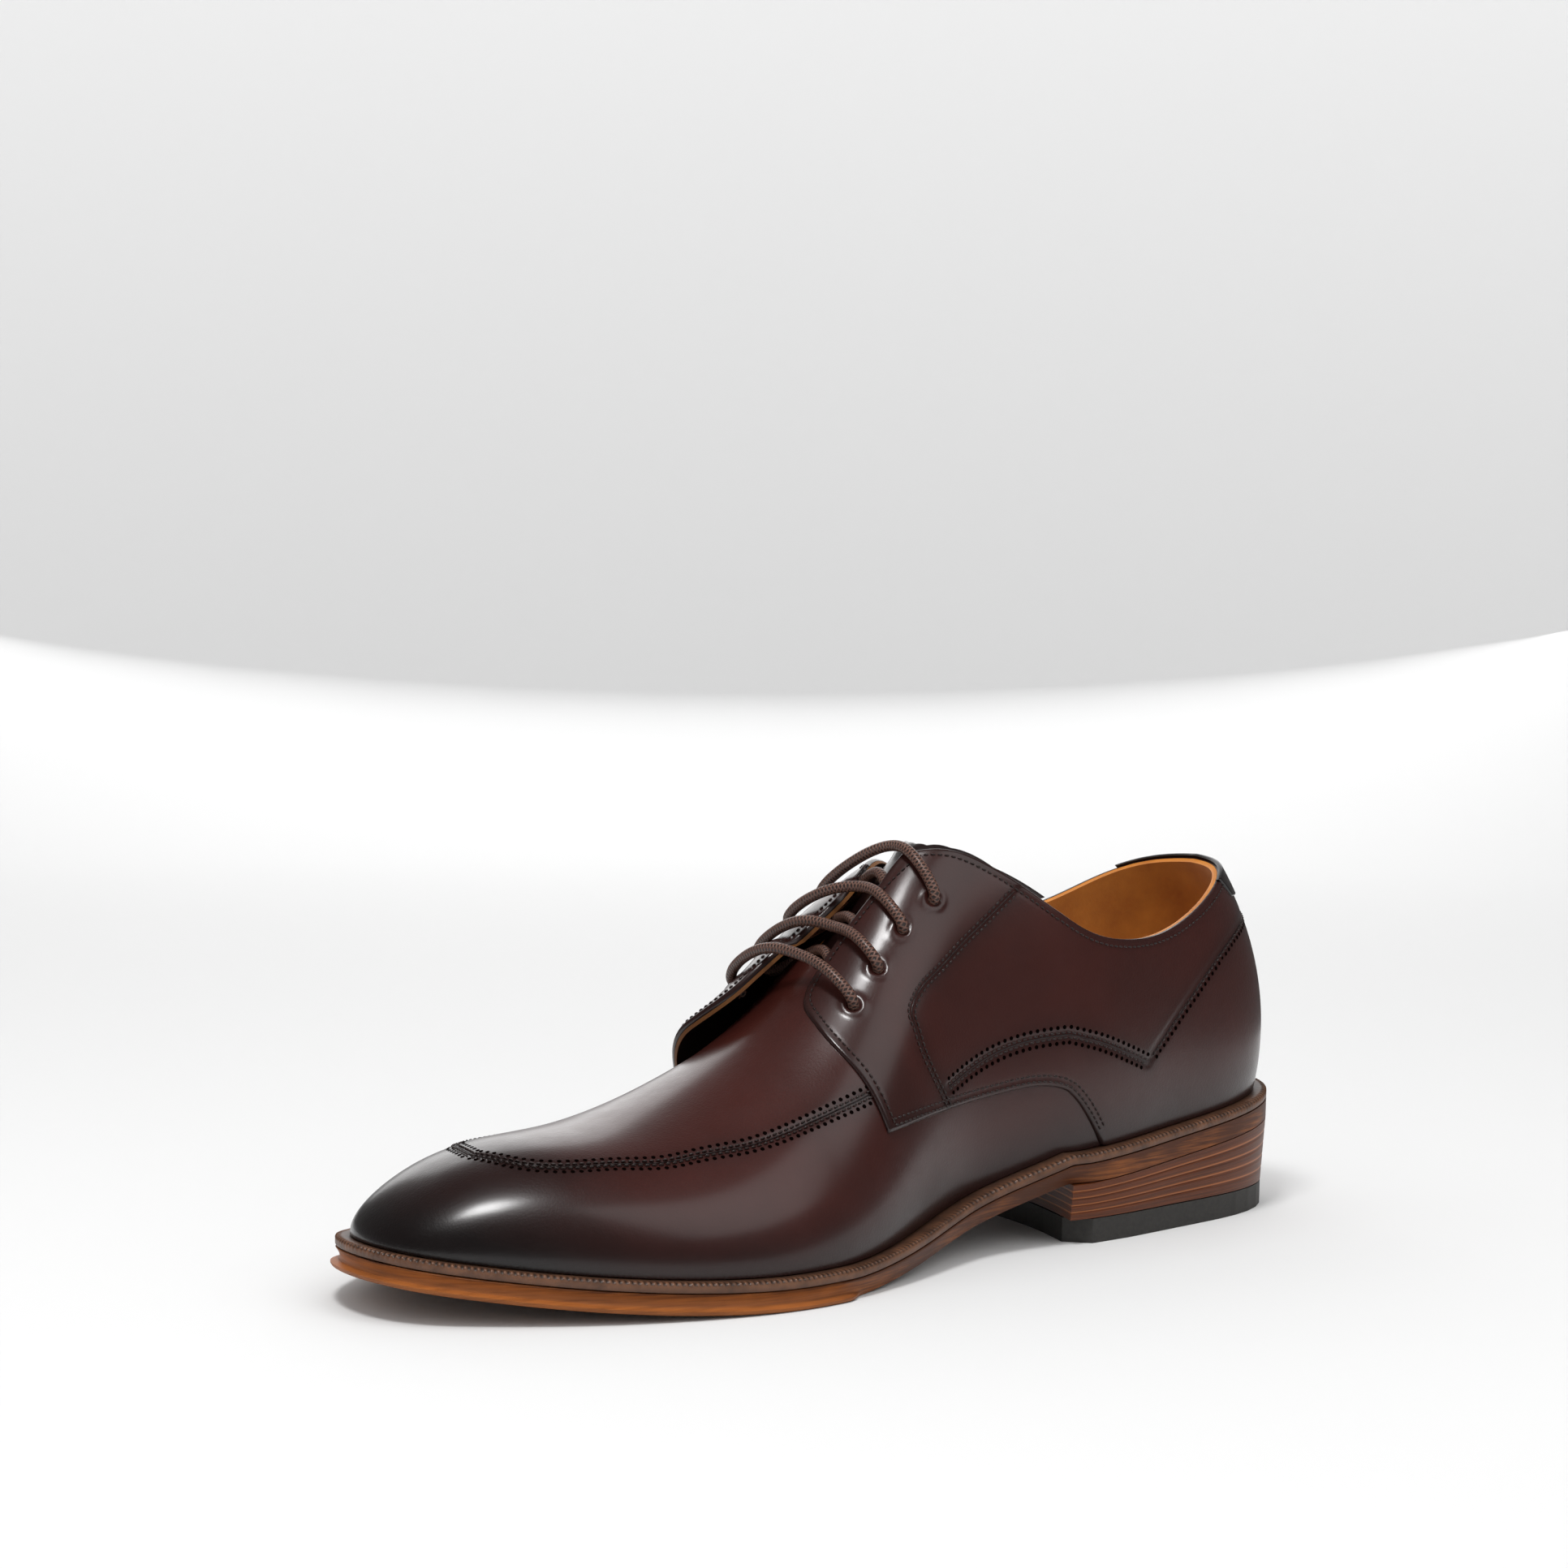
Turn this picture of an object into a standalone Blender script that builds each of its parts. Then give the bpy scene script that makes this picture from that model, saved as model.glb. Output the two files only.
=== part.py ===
"""Derby shoe, right foot: a lasted leather upper on a welted sole with a stacked heel.

The model is in metres, with +Z up and +X towards the toe. The wearer's inner side is at +Y.
It stands on the floor plane z = 0, with its origin under the middle of its bounding box.
"""
from collections import namedtuple
import math

import bmesh
import bpy
from mathutils import Matrix, Vector
import numpy as np

# Lengths and widths of the form that the leather is stretched over
FORM_LENGTH = 0.293
BALL_WIDTH = 0.1062
INSTEP_HEIGHT = 0.100
BACK_BULGE_HEIGHT = 0.018
BACK_LEAN = 0.0165

# Sole and heel
SOLE_THICKNESS = 0.0052
WELT_THICKNESS = 0.0029
WELT_MARGIN = 0.0037
TOE_SPRING = 0.0088
SPRING_START = 0.200
WAIST_END = 0.184
SOLE_LIP = 0.0012
SOLE_HOLLOW = 0.0010
WAIST_BEVEL = 0.0022
INSOLE_THICKNESS = 0.0020
HEEL_BACK_HEIGHT = 0.0262
HEEL_BREAST_HEIGHT = 0.0172
HEEL_LENGTH = 0.0885
BREAST_SKEW = 0.0060
BREAST_HOLLOW = 0.0052
HEEL_TAPER = 0.0010
TOP_LIFT_THICKNESS = 0.0068
NOTCH_LENGTH = 0.0080
NOTCH_WIDTH = 0.0060

# Leather walls and openings
VAMP_WALL = 0.0018
QUARTER_STEP = 0.0011
COLLAR_ROOM = 0.018
FEATHER_ROOM = 0.010
QUARTER_BITE = 0.0013
FREE_LIFT = 0.0006
TONGUE_WALL = 0.0022
TONGUE_RISE = 0.0055
TONGUE_REACH = 0.010
TONGUE_CLEARANCE = 0.0010
FLAP_LIFT = 0.0062
COLLAR_BACK_HEIGHT = 0.0970
INNER_COLLAR_HEIGHT = 0.0797
OUTER_COLLAR_HEIGHT = 0.0815
INNER_FACING_HEIGHT = 0.1068
OUTER_FACING_HEIGHT = 0.1015
EYELET_DIAMETER = 0.0036
PUNCH_DEPTH = 0.012
LACE_DIAMETER = 0.0030
LACE_BOW = 0.0045
LACE_CLEARANCE = 0.0011
LACE_SHOULDER = 0.87

# Room between pieces that touch
GAP = 0.0003

# How finely the curved pieces are cut into faces
BACK_STEPS = 14
MIDDLE_STEPS = 12
FORE_STEPS = 18
FORE_CROWDING = 1.2
WALL_ROWS = 13
QUARTER_COLUMNS = 26
QUARTER_ROWS = 11
TONGUE_ROWS = 13
TONGUE_COLUMNS = 9
HEEL_STEPS = 14
HEEL_STRIPS = 8
LACE_SIDES = 8
LACE_STEPS = 12

Section = namedtuple(
    "Section", "place inner outer ridge inner_bulge outer_bulge waistline inner_crown outer_crown lean")
# One row for each cross-section of the form, from heel to toe. place is a share of FORM_LENGTH,
# inner, outer and lean are shares of BALL_WIDTH, and ridge is a share of INSTEP_HEIGHT. The
# bulges and crowns are shares of the section's own half width, waistline of its own height.
SECTIONS = [
    Section(0.000, 0.000, 0.000, 1.000, 0.06, 0.05, 0.30, 0.72, 0.74, 0.000),
    Section(0.030, 0.178, 0.186, 1.005, 0.08, 0.06, 0.32, 0.72, 0.74, 0.000),
    Section(0.100, 0.262, 0.272, 1.010, 0.11, 0.11, 0.40, 0.72, 0.72, 0.002),
    Section(0.185, 0.292, 0.300, 1.015, 0.14, 0.13, 0.44, 0.70, 0.68, 0.005),
    Section(0.308, 0.316, 0.322, 1.000, 0.15, 0.12, 0.44, 0.65, 0.61, 0.022),
    Section(0.430, 0.300, 0.358, 0.940, 0.14, 0.10, 0.42, 0.57, 0.59, 0.048),
    Section(0.552, 0.424, 0.417, 0.650, 0.11, 0.06, 0.42, 0.52, 0.57, 0.065),
    Section(0.675, 0.503, 0.468, 0.430, 0.05, 0.04, 0.46, 0.50, 0.58, 0.063),
    Section(0.776, 0.464, 0.463, 0.325, 0.03, 0.03, 0.51, 0.55, 0.59, 0.051),
    Section(0.868, 0.366, 0.402, 0.276, 0.03, 0.03, 0.51, 0.60, 0.60, 0.040),
    Section(0.939, 0.252, 0.288, 0.190, 0.03, 0.02, 0.50, 0.65, 0.63, 0.030),
    Section(0.985, 0.141, 0.162, 0.082, 0.03, 0.01, 0.49, 0.70, 0.68, 0.020),
    Section(1.000, 0.000, 0.000, 0.000, 0.03, 0.02, 0.49, 0.70, 0.69, 0.010),
]

TopLine = namedtuple("TopLine", "place back dip facing")
# The upper's top edge, from the back seam to the front corner of the facing. Each row's height
# is the sum of its shares of the collar's back height, its lowest height and the facing's top.
TOP_LINE = [
    TopLine(0.000, 1.00, 0.00, 0.00),
    TopLine(0.034, 0.86, 0.14, 0.00),
    TopLine(0.092, 0.55, 0.45, 0.00),
    TopLine(0.146, 0.22, 0.78, 0.00),
    TopLine(0.191, 0.03, 0.97, 0.00),
    TopLine(0.241, 0.00, 1.00, 0.00),
    TopLine(0.293, 0.00, 0.86, 0.14),
    TopLine(0.343, 0.00, 0.49, 0.51),
    TopLine(0.388, 0.00, 0.16, 0.84),
    TopLine(0.425, 0.00, 0.00, 1.00),
    TopLine(0.448, 0.00, 0.02, 0.98),
]

EdgePoint = namedtuple("EdgePoint", "place up")
# The quarter's lower edge, from where it leaves the sole to its front corner, and its front edge,
# from that corner round the lobe and up the throat. up is a share of the way round the section.
INNER_LOWER_EDGE = [
    EdgePoint(0.277, 0.000), EdgePoint(0.296, 0.064), EdgePoint(0.317, 0.116), EdgePoint(0.349, 0.156),
    EdgePoint(0.401, 0.184), EdgePoint(0.466, 0.230), EdgePoint(0.519, 0.290), EdgePoint(0.562, 0.343),
]
INNER_FRONT_EDGE = [
    EdgePoint(0.562, 0.343), EdgePoint(0.574, 0.553), EdgePoint(0.583, 0.720), EdgePoint(0.581, 0.860),
    EdgePoint(0.566, 0.955), EdgePoint(0.537, 0.980), EdgePoint(0.491, 0.965), EdgePoint(0.448, 0.914),
]
OUTER_LOWER_EDGE = [
    EdgePoint(0.277, 0.000), EdgePoint(0.296, 0.064), EdgePoint(0.317, 0.116), EdgePoint(0.349, 0.156),
    EdgePoint(0.401, 0.184), EdgePoint(0.466, 0.230), EdgePoint(0.532, 0.290), EdgePoint(0.585, 0.343),
]
OUTER_FRONT_EDGE = [
    EdgePoint(0.585, 0.343), EdgePoint(0.605, 0.500), EdgePoint(0.616, 0.640), EdgePoint(0.605, 0.760),
    EdgePoint(0.581, 0.840), EdgePoint(0.542, 0.870), EdgePoint(0.491, 0.880), EdgePoint(0.448, 0.880),
]
# Where the leather below the facings ends: up the side of the instep, then over it at the throat.
THROAT_LINE = [
    EdgePoint(0.343, 0.520), EdgePoint(0.390, 0.555), EdgePoint(0.451, 0.575), EdgePoint(0.491, 0.600),
    EdgePoint(0.514, 0.680), EdgePoint(0.530, 0.820), EdgePoint(0.540, 0.930), EdgePoint(0.547, 1.000),
]
# The tongue's top edge, along the inside of the facings' top: the tongue stands a little behind it.
TONGUE_TOP = [
    EdgePoint(0.343, 0.530), EdgePoint(0.390, 0.657), EdgePoint(0.427, 0.804), EdgePoint(0.446, 0.914),
    EdgePoint(0.450, 1.000),
]
TONGUE_FRONT_UP = 0.70
EyeletRow = namedtuple("EyeletRow", "inner_place inner_up outer_place outer_up seat inner_rise rise outer_rise")
# Each lace bar's two holes, from the top of the facings down. seat is the cord's height over the
# leather at its holes, as a share of LACE_DIAMETER. The rises are how high it bows over the inner
# facing, the throat and the outer facing, as shares of LACE_BOW.
EYELETS = [
    EyeletRow(0.449, 0.710, 0.455, 0.650, 0.14, -0.02, -0.24, -0.04),
    EyeletRow(0.485, 0.742, 0.492, 0.680, 0.12, -0.10, -0.18, 0.30),
    EyeletRow(0.518, 0.740, 0.519, 0.650, 0.42, 0.15, 0.00, 0.08),
    EyeletRow(0.550, 0.737, 0.551, 0.672, 0.60, 0.55, 0.95, 0.40),
]

INNER = 1
OUTER = -1


def spline(knots, values, at):
    """A natural cubic spline through (knots, values), read at each number of an array."""
    knots = np.asarray(knots, float)
    values = np.asarray(values, float)
    count = len(knots)
    step = np.diff(knots)
    system = np.eye(count)
    right = np.zeros(count)
    for i in range(1, count - 1):
        system[i, i - 1] = step[i - 1]
        system[i, i] = 2 * (step[i - 1] + step[i])
        system[i, i + 1] = step[i]
        right[i] = 6 * ((values[i + 1] - values[i]) / step[i] - (values[i] - values[i - 1]) / step[i - 1])
    bend = np.linalg.solve(system, right)
    k = np.clip(np.searchsorted(knots, at) - 1, 0, count - 2)
    after = at - knots[k]
    before = knots[k + 1] - at
    width = step[k]
    curved = (bend[k] * before ** 3 + bend[k + 1] * after ** 3) / (6 * width)
    from_low = (values[k] / width - bend[k] * width / 6) * before
    from_high = (values[k + 1] / width - bend[k + 1] * width / 6) * after
    return curved + from_low + from_high


def smooth(t):
    """0 below 0 and 1 above 1, with a soft start and end."""
    t = np.clip(t, 0, 1)
    return t * t * (3 - 2 * t)


def turn_of(place):
    """The angle that stands for a place along the form: 0 at the back, pi at the toe."""
    return np.arccos(1 - 2 * np.clip(place, 0, 1))


def place_of(turn):
    return (1 - np.cos(turn)) / 2


def underside(x):
    """Height of the outsole's underside: heel seat, waist, flat tread, then toe spring."""
    seat = np.clip(1 - x / HEEL_LENGTH, 0, 1.2) ** 1.15
    waist_start = HEEL_LENGTH + BREAST_SKEW
    waist = np.clip((WAIST_END - x) / (WAIST_END - waist_start), 0, 1) ** 1.5
    spring = np.clip((x - SPRING_START) / (FORM_LENGTH - SPRING_START), 0, 2) ** 1.8
    heel_drop = HEEL_BACK_HEIGHT - HEEL_BREAST_HEIGHT
    return HEEL_BREAST_HEIGHT * waist + heel_drop * seat + TOE_SPRING * spring


def seat_height(x):
    """Height of the upper's lower edge, on top of the outsole and the welt."""
    return underside(x) + SOLE_THICKNESS + WELT_THICKNESS + GAP


def column(name, turn):
    return spline([turn_of(row.place) for row in SECTIONS], [getattr(row, name) for row in SECTIONS], turn)


def form(turn, up, side):
    """The outer face of the lasted leather, before any overlay.

    Each section is a cubic curve from the feather edge (up = 0), out to the bulge, in over the
    crown and level at the ridge (up = 1). turn and up are arrays of one shape.
    """
    kind = "inner" if side == INNER else "outer"
    half = side * BALL_WIDTH * np.maximum(column(kind, turn), 0)
    lean = BALL_WIDTH * column("lean", turn) * np.sin(turn)
    bulge = column(kind + "_bulge", turn)
    crown = column(kind + "_crown", turn)
    foot = FORM_LENGTH * place_of(turn)
    low = seat_height(foot)
    rise = INSTEP_HEIGHT * column("ridge", turn)
    weights = [(1 - up) ** 3, 3 * up * (1 - up) ** 2, 3 * up ** 2 * (1 - up), up ** 3]
    across = [half, half * (1 + bulge), half * crown + lean, lean]
    height = [0, rise * column("waistline", turn), rise, rise]
    y = sum(w * a for w, a in zip(weights, across))
    z = low + sum(w * h for w, h in zip(weights, height))
    fade = np.clip(1 - (turn / 1.1) ** 2, 0, 1) ** 2
    above = COLLAR_BACK_HEIGHT - seat_height(0.0) - BACK_BULGE_HEIGHT
    lean_in = ((z - low - BACK_BULGE_HEIGHT) / above) ** 2 - (BACK_BULGE_HEIGHT / above) ** 2
    x = foot + fade * BACK_LEAN * np.minimum(lean_in, 1.2)
    return np.stack([x, y, z], -1)


def outward(turn, up, side):
    """Unit normals of the form, level at the feather edge and unturned on the back seam."""
    step = 1e-4
    low_turn = np.clip(turn - step, 0, math.pi)
    high_turn = np.clip(turn + step, 0, math.pi)
    low_up = np.clip(up - step, 0, 1)
    high_up = np.clip(up + step, 0, 1)
    along = form(high_turn, up, side) - form(low_turn, up, side)
    around = form(turn, high_up, side) - form(turn, low_up, side)
    normal = -side * np.cross(along, around)
    normal[..., 1] *= smooth(turn / 0.05)
    normal[..., 2] *= smooth(up / 0.12)
    size = np.linalg.norm(normal, axis=-1, keepdims=True)
    normal = normal / np.maximum(size, 1e-15)
    normal[turn > math.pi - 1e-6] = (1, 0, 0)
    return normal


def off_form(turn, up, side, distance):
    distance = np.broadcast_to(distance, np.shape(turn))
    return form(turn, up, side) + outward(turn, up, side) * distance[..., None]


def up_at_height(turn, height, side):
    """The share of the way round each section at which it reaches a height."""
    samples = np.linspace(0, 1, 200)
    found = []
    for one_turn, one_height in zip(turn, height):
        heights = form(np.full_like(samples, one_turn), samples, side)[:, 2]
        found.append(np.interp(one_height, heights, samples))
    return np.array(found)


def top_line_up(turn, side):
    dip = INNER_COLLAR_HEIGHT if side == INNER else OUTER_COLLAR_HEIGHT
    facing = INNER_FACING_HEIGHT if side == INNER else OUTER_FACING_HEIGHT
    heights = [row.back * COLLAR_BACK_HEIGHT + row.dip * dip + row.facing * facing for row in TOP_LINE]
    return up_at_height(turn, spline([turn_of(row.place) for row in TOP_LINE], heights, turn), side)


def edge_curve(points, count):
    """Turns and ups at evenly spaced steps along a smooth curve through an edge's points."""
    turns = turn_of(np.array([point.place for point in points]))
    ups = np.array([point.up for point in points])
    reach = np.concatenate([[0], np.cumsum(np.hypot(np.diff(turns), np.diff(ups)))])
    at = np.linspace(0, reach[-1], count)
    return np.stack([spline(reach, turns, at), spline(reach, ups, at)], -1)


def throat_up(turn):
    places = np.array([point.place for point in THROAT_LINE])
    return np.interp(place_of(turn), places, [point.up for point in THROAT_LINE])


def grid_faces(first, rows, columns):
    """Quads over a grid of points numbered row by row from first."""
    index = first + np.arange(rows * columns).reshape(rows, columns)
    quads = np.stack([index[:-1, :-1], index[1:, :-1], index[1:, 1:], index[:-1, 1:]], -1)
    return quads.reshape(-1, 4).tolist()


def strip_faces(one, other):
    return [[one[i], one[i + 1], other[i + 1], other[i]] for i in range(len(one) - 1)]


def make_object(name, points, faces, material):
    """A closed solid from points and faces. Points that coincide are joined."""
    mesh = bpy.data.meshes.new(name)
    mesh.from_pydata(np.asarray(points, float).tolist(), [], faces)
    body = bmesh.new()
    body.from_mesh(mesh)
    bmesh.ops.remove_doubles(body, verts=body.verts, dist=2e-6)
    bmesh.ops.dissolve_degenerate(body, edges=body.edges, dist=1e-6)
    bmesh.ops.recalc_face_normals(body, faces=body.faces)
    body.to_mesh(mesh)
    body.free()
    mesh.materials.append(material)
    mesh.shade_smooth()
    mesh.set_sharp_from_angle(angle=math.radians(40))
    solid = bpy.data.objects.new(name, mesh)
    bpy.context.scene.collection.objects.link(solid)
    return solid


def make_material(name, colour, roughness, metallic=0.0):
    material = bpy.data.materials.new(name)
    material.use_nodes = True
    shader = material.node_tree.nodes["Principled BSDF"]
    shader.inputs["Base Color"].default_value = (*colour, 1)
    shader.inputs["Roughness"].default_value = roughness
    shader.inputs["Metallic"].default_value = metallic
    return material


def walled_sheet(halves, open_columns):
    """Points and faces of a wall from its outer and inner grids, one pair for each side.

    Rows of a grid run from the back seam to the front, and columns from the lower edge up. The
    lower edge is closed by a rim, and so are the upper edge of the first open_columns rows and,
    where the wall doesn't reach the toe, the front edge.
    """
    points = []
    faces = []
    for outer, inner, closed_front in halves:
        rows, columns = outer.shape[:2]
        first = len(points)
        second = first + rows * columns
        points.extend(outer.reshape(-1, 3))
        points.extend(inner.reshape(-1, 3))
        faces.extend(grid_faces(first, rows, columns))
        faces.extend(face[::-1] for face in grid_faces(second, rows, columns))
        out_index = first + np.arange(rows * columns).reshape(rows, columns)
        in_index = out_index + rows * columns
        faces.extend(strip_faces(out_index[:, 0].tolist(), in_index[:, 0].tolist()))
        faces.extend(strip_faces(out_index[:open_columns, -1].tolist(), in_index[:open_columns, -1].tolist()))
        if not closed_front:
            faces.extend(strip_faces(out_index[-1].tolist(), in_index[-1].tolist()))
    return points, faces


def apply_boolean(target, other, operation, solver="EXACT"):
    """Joins or cuts target with other, and removes other."""
    modifier = target.modifiers.new(operation.title(), "BOOLEAN")
    modifier.operation = operation
    modifier.solver = solver
    modifier.object = other
    graph = bpy.context.evaluated_depsgraph_get()
    mesh = bpy.data.meshes.new_from_object(target.evaluated_get(graph))
    target.modifiers.clear()
    target.data = mesh
    bpy.data.objects.remove(other)


def vamp_turns():
    """The columns' turns: to the heel breast, on to the throat's end, and on to the toe."""
    breast = turn_of((HEEL_LENGTH + BREAST_SKEW) / FORM_LENGTH)
    throat_end = turn_of(THROAT_LINE[-1].place)
    back = np.linspace(0, breast, BACK_STEPS + 1)
    middle = np.linspace(breast, throat_end, MIDDLE_STEPS + 1)
    fore = throat_end + (math.pi - throat_end) * np.linspace(0, 1, FORE_STEPS + 1) ** FORE_CROWDING
    return np.concatenate([back, middle[1:], fore[1:]])


def vamp_shell(material):
    """Vamp and lining: one wall from the feather edge to the collar and the throat."""
    turns = vamp_turns()
    throat_end = BACK_STEPS + MIDDLE_STEPS
    halves = []
    facing_start = turn_of(THROAT_LINE[0].place)
    for side in (INNER, OUTER):
        top = np.where(turns <= facing_start, top_line_up(turns, side), throat_up(turns))
        up = top[:, None] * np.linspace(0, 1, WALL_ROWS + 1)
        turn = np.repeat(turns[:, None], WALL_ROWS + 1, axis=1)
        halves.append((off_form(turn, up, side, 0.0), off_form(turn, up, side, -VAMP_WALL), True))
    points, faces = walled_sheet(halves, throat_end + 1)
    return make_object("upper", points, faces, material)


def quarter_patch(side):
    """Turn and up of each point of a quarter's grid, blended from its four edges."""
    lower_edge, front_edge = (
        (INNER_LOWER_EDGE, INNER_FRONT_EDGE) if side == INNER else (OUTER_LOWER_EDGE, OUTER_FRONT_EDGE))
    along_sole = QUARTER_COLUMNS // 2
    lower_turn = np.linspace(0, turn_of(lower_edge[0].place), along_sole + 1)
    lower = np.stack([lower_turn, np.full_like(lower_turn, FEATHER_ROOM)], -1)
    rising = edge_curve(lower_edge, QUARTER_COLUMNS - along_sole + 1)
    rising[:, 1] = np.maximum(rising[:, 1], FEATHER_ROOM)
    lower = np.concatenate([lower, rising[1:]])
    front = edge_curve(front_edge, QUARTER_ROWS + 1)
    top_turn = np.linspace(0, turn_of(front_edge[-1].place), QUARTER_COLUMNS + 1)
    top = np.stack([top_turn, top_line_up(top_turn, side) + COLLAR_ROOM], -1)
    front[-1] = top[-1]
    back_up = np.linspace(FEATHER_ROOM, top[0, 1], QUARTER_ROWS + 1)
    back = np.stack([np.zeros_like(back_up), back_up], -1)
    s = np.linspace(0, 1, QUARTER_COLUMNS + 1)[:, None, None]
    r = np.linspace(0, 1, QUARTER_ROWS + 1)[None, :, None]
    between_edges = (1 - r) * lower[:, None] + r * top[:, None] + (1 - s) * back[None] + s * front[None]
    corners = (
        (1 - s) * (1 - r) * lower[0] + s * (1 - r) * lower[-1] + (1 - s) * r * top[0] + s * r * top[-1])
    patch = between_edges - corners
    return patch[..., 0], np.clip(patch[..., 1], 0, 1), s[..., 0], r[..., 0]


def flap_lift(s, r, side):
    """How far the outer quarter's free lobe and facing stand off what lies under them."""
    highest = FLAP_LIFT if side == OUTER else 0.0
    return highest * smooth((s - 0.72) / 0.28) * smooth((r - 0.18) / 0.30) * (1 - smooth((r - 0.68) / 0.30))


def quarter_shell(material):
    """Both quarters, joined at the back seam: a second wall that bites into the first."""
    halves = []
    for side in (INNER, OUTER):
        turn, up, s, r = quarter_patch(side)
        lift = flap_lift(s, r, side)
        over_throat = smooth((up - throat_up(turn) + 0.02) / 0.06) * smooth((turn - 1.25) / 0.1)
        free = smooth(lift / FREE_LIFT) * (1 - over_throat)
        inside = lift - QUARTER_BITE * (1 - free)
        outside = lift + QUARTER_STEP + QUARTER_BITE * free
        halves.append((off_form(turn, up, side, outside), off_form(turn, up, side, inside), False))
    points, faces = walled_sheet(halves, QUARTER_COLUMNS + 1)
    return make_object("quarters", points, faces, material)


def eyelet_frame(place, up, side):
    """A point on the quarter's outer face, and the way out of it."""
    turn = np.array([float(turn_of(place))])
    share = np.array([up])
    normal = outward(turn, share, side)[0]
    patch_turn, patch_up, s, r = quarter_patch(side)
    miss = (patch_turn - turn[0]) ** 2 + (patch_up - up) ** 2
    row, col = np.unravel_index(np.argmin(miss), miss.shape)
    lift = flap_lift(s, r, side)[row, col]
    return form(turn, share, side)[0] + normal * (QUARTER_STEP + lift), normal


def eyelet_cutter(material):
    """One round punch through the leather for each lace hole."""
    punches = bmesh.new()
    for row in EYELETS:
        for place, up, side in ((row.inner_place, row.inner_up, INNER), (row.outer_place, row.outer_up, OUTER)):
            centre, normal = eyelet_frame(place, up, side)
            made = bmesh.ops.create_cone(
                punches, cap_ends=True, segments=10, radius1=EYELET_DIAMETER / 2, radius2=EYELET_DIAMETER / 2,
                depth=PUNCH_DEPTH)
            matrix = direction_matrix(normal, centre)
            bmesh.ops.transform(punches, matrix=matrix, verts=made["verts"])
    mesh = bpy.data.meshes.new("eyelet_punches")
    punches.to_mesh(mesh)
    punches.free()
    cutter = bpy.data.objects.new("eyelet_punches", mesh)
    bpy.context.scene.collection.objects.link(cutter)
    return cutter


def direction_matrix(direction, centre):
    turn = Vector((0, 0, 1)).rotation_difference(Vector(direction)).to_matrix().to_4x4()
    return Matrix.Translation(Vector(centre)) @ turn


def make_upper(material):
    upper = vamp_shell(material)
    apply_boolean(upper, quarter_shell(material), "UNION", "MANIFOLD")
    apply_boolean(upper, eyelet_cutter(material), "DIFFERENCE")
    return upper


def plan_ring(distance):
    """The feather edge moved out by a distance, as its inner and outer halves from back to toe."""
    turns = vamp_turns()
    level = np.zeros_like(turns)
    rings = []
    for side in (INNER, OUTER):
        edge = off_form(turns, level, side, distance)
        rings.append(edge[:, :2])
    return rings


def margin(extra=0.0):
    """How far the sole stands out from the form, all round: more where the quarters cover it."""
    turns = vamp_turns()
    covered = 1 - smooth((place_of(turns) - 0.48) / 0.12)
    return WELT_MARGIN + QUARTER_STEP * covered + extra


def slab(levels):
    """Points and faces of a solid whose outline and height change from level to level.

    A level is a grid of plan points, from back to front and from inner to outer side, and a
    function that gives the height at x. The first and last levels are filled.
    """
    points = []
    faces = []
    edges = []
    for plan, height in levels:
        rows, columns = plan.shape[:2]
        first = len(points)
        z = height(plan[..., 0])
        points.extend(np.concatenate([plan, z[..., None]], -1).reshape(-1, 3))
        index = first + np.arange(rows * columns).reshape(rows, columns)
        ring = list(index[:, 0]) + list(index[-1, 1:]) + list(index[-2::-1, -1]) + list(index[0, -2:0:-1])
        ring = [int(i) for i in ring]
        edges.append(ring + ring[:1])
        if len(edges) in (1, len(levels)):
            faces.extend(grid_faces(first, rows, columns))
    for low, high in zip(edges, edges[1:]):
        faces.extend(strip_faces(low, high))
    return points, faces


def sole_plan(distance):
    inner, outer = plan_ring(distance)
    return np.stack([inner, outer], 1)


def make_outsole(material):
    """Full-length outsole: a hollow side and a flared lip in the forepart, a bevelled waist."""
    turns = vamp_turns()
    x = FORM_LENGTH * place_of(turns)
    fore = smooth((x - WAIST_END + 0.004) / 0.008)
    waist = (1 - fore) * smooth((x - HEEL_LENGTH + 0.010) / 0.020)
    side = [
        (0.00, margin() + fore * SOLE_LIP / 2 - waist * WAIST_BEVEL),
        (0.22, margin() + fore * SOLE_LIP - waist * WAIST_BEVEL * 0.8),
        (0.55, margin() - fore * SOLE_HOLLOW - waist * WAIST_BEVEL * 0.4),
        (1.00, margin()),
    ]
    levels = []
    for share, distance in side:
        levels.append((sole_plan(distance), lambda x, share=share: underside(x) + share * SOLE_THICKNESS))
    points, faces = slab(levels)
    return make_object("outsole", points, faces, material)


def make_welt(material):
    """A flat strip all round, between the outsole and the edge of the upper."""
    outer_ring = plan_ring(margin())
    inner_ring = plan_ring(-VAMP_WALL)
    points = []
    loops = []
    for ring in (outer_ring, inner_ring):
        loop = np.concatenate([ring[0], ring[1][-2:0:-1]])
        for lift in (SOLE_THICKNESS + GAP, SOLE_THICKNESS + WELT_THICKNESS):
            first = len(points)
            z = underside(loop[:, 0]) + lift
            points.extend(np.column_stack([loop, z]))
            index = list(range(first, first + len(loop)))
            loops.append(index + index[:1])
    out_low, out_high, in_low, in_high = loops
    faces = strip_faces(out_low, out_high)
    faces += strip_faces(out_high, in_high)
    faces += strip_faces(in_high, in_low)
    faces += strip_faces(in_low, out_low)
    return make_object("welt", points, faces, material)


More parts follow.
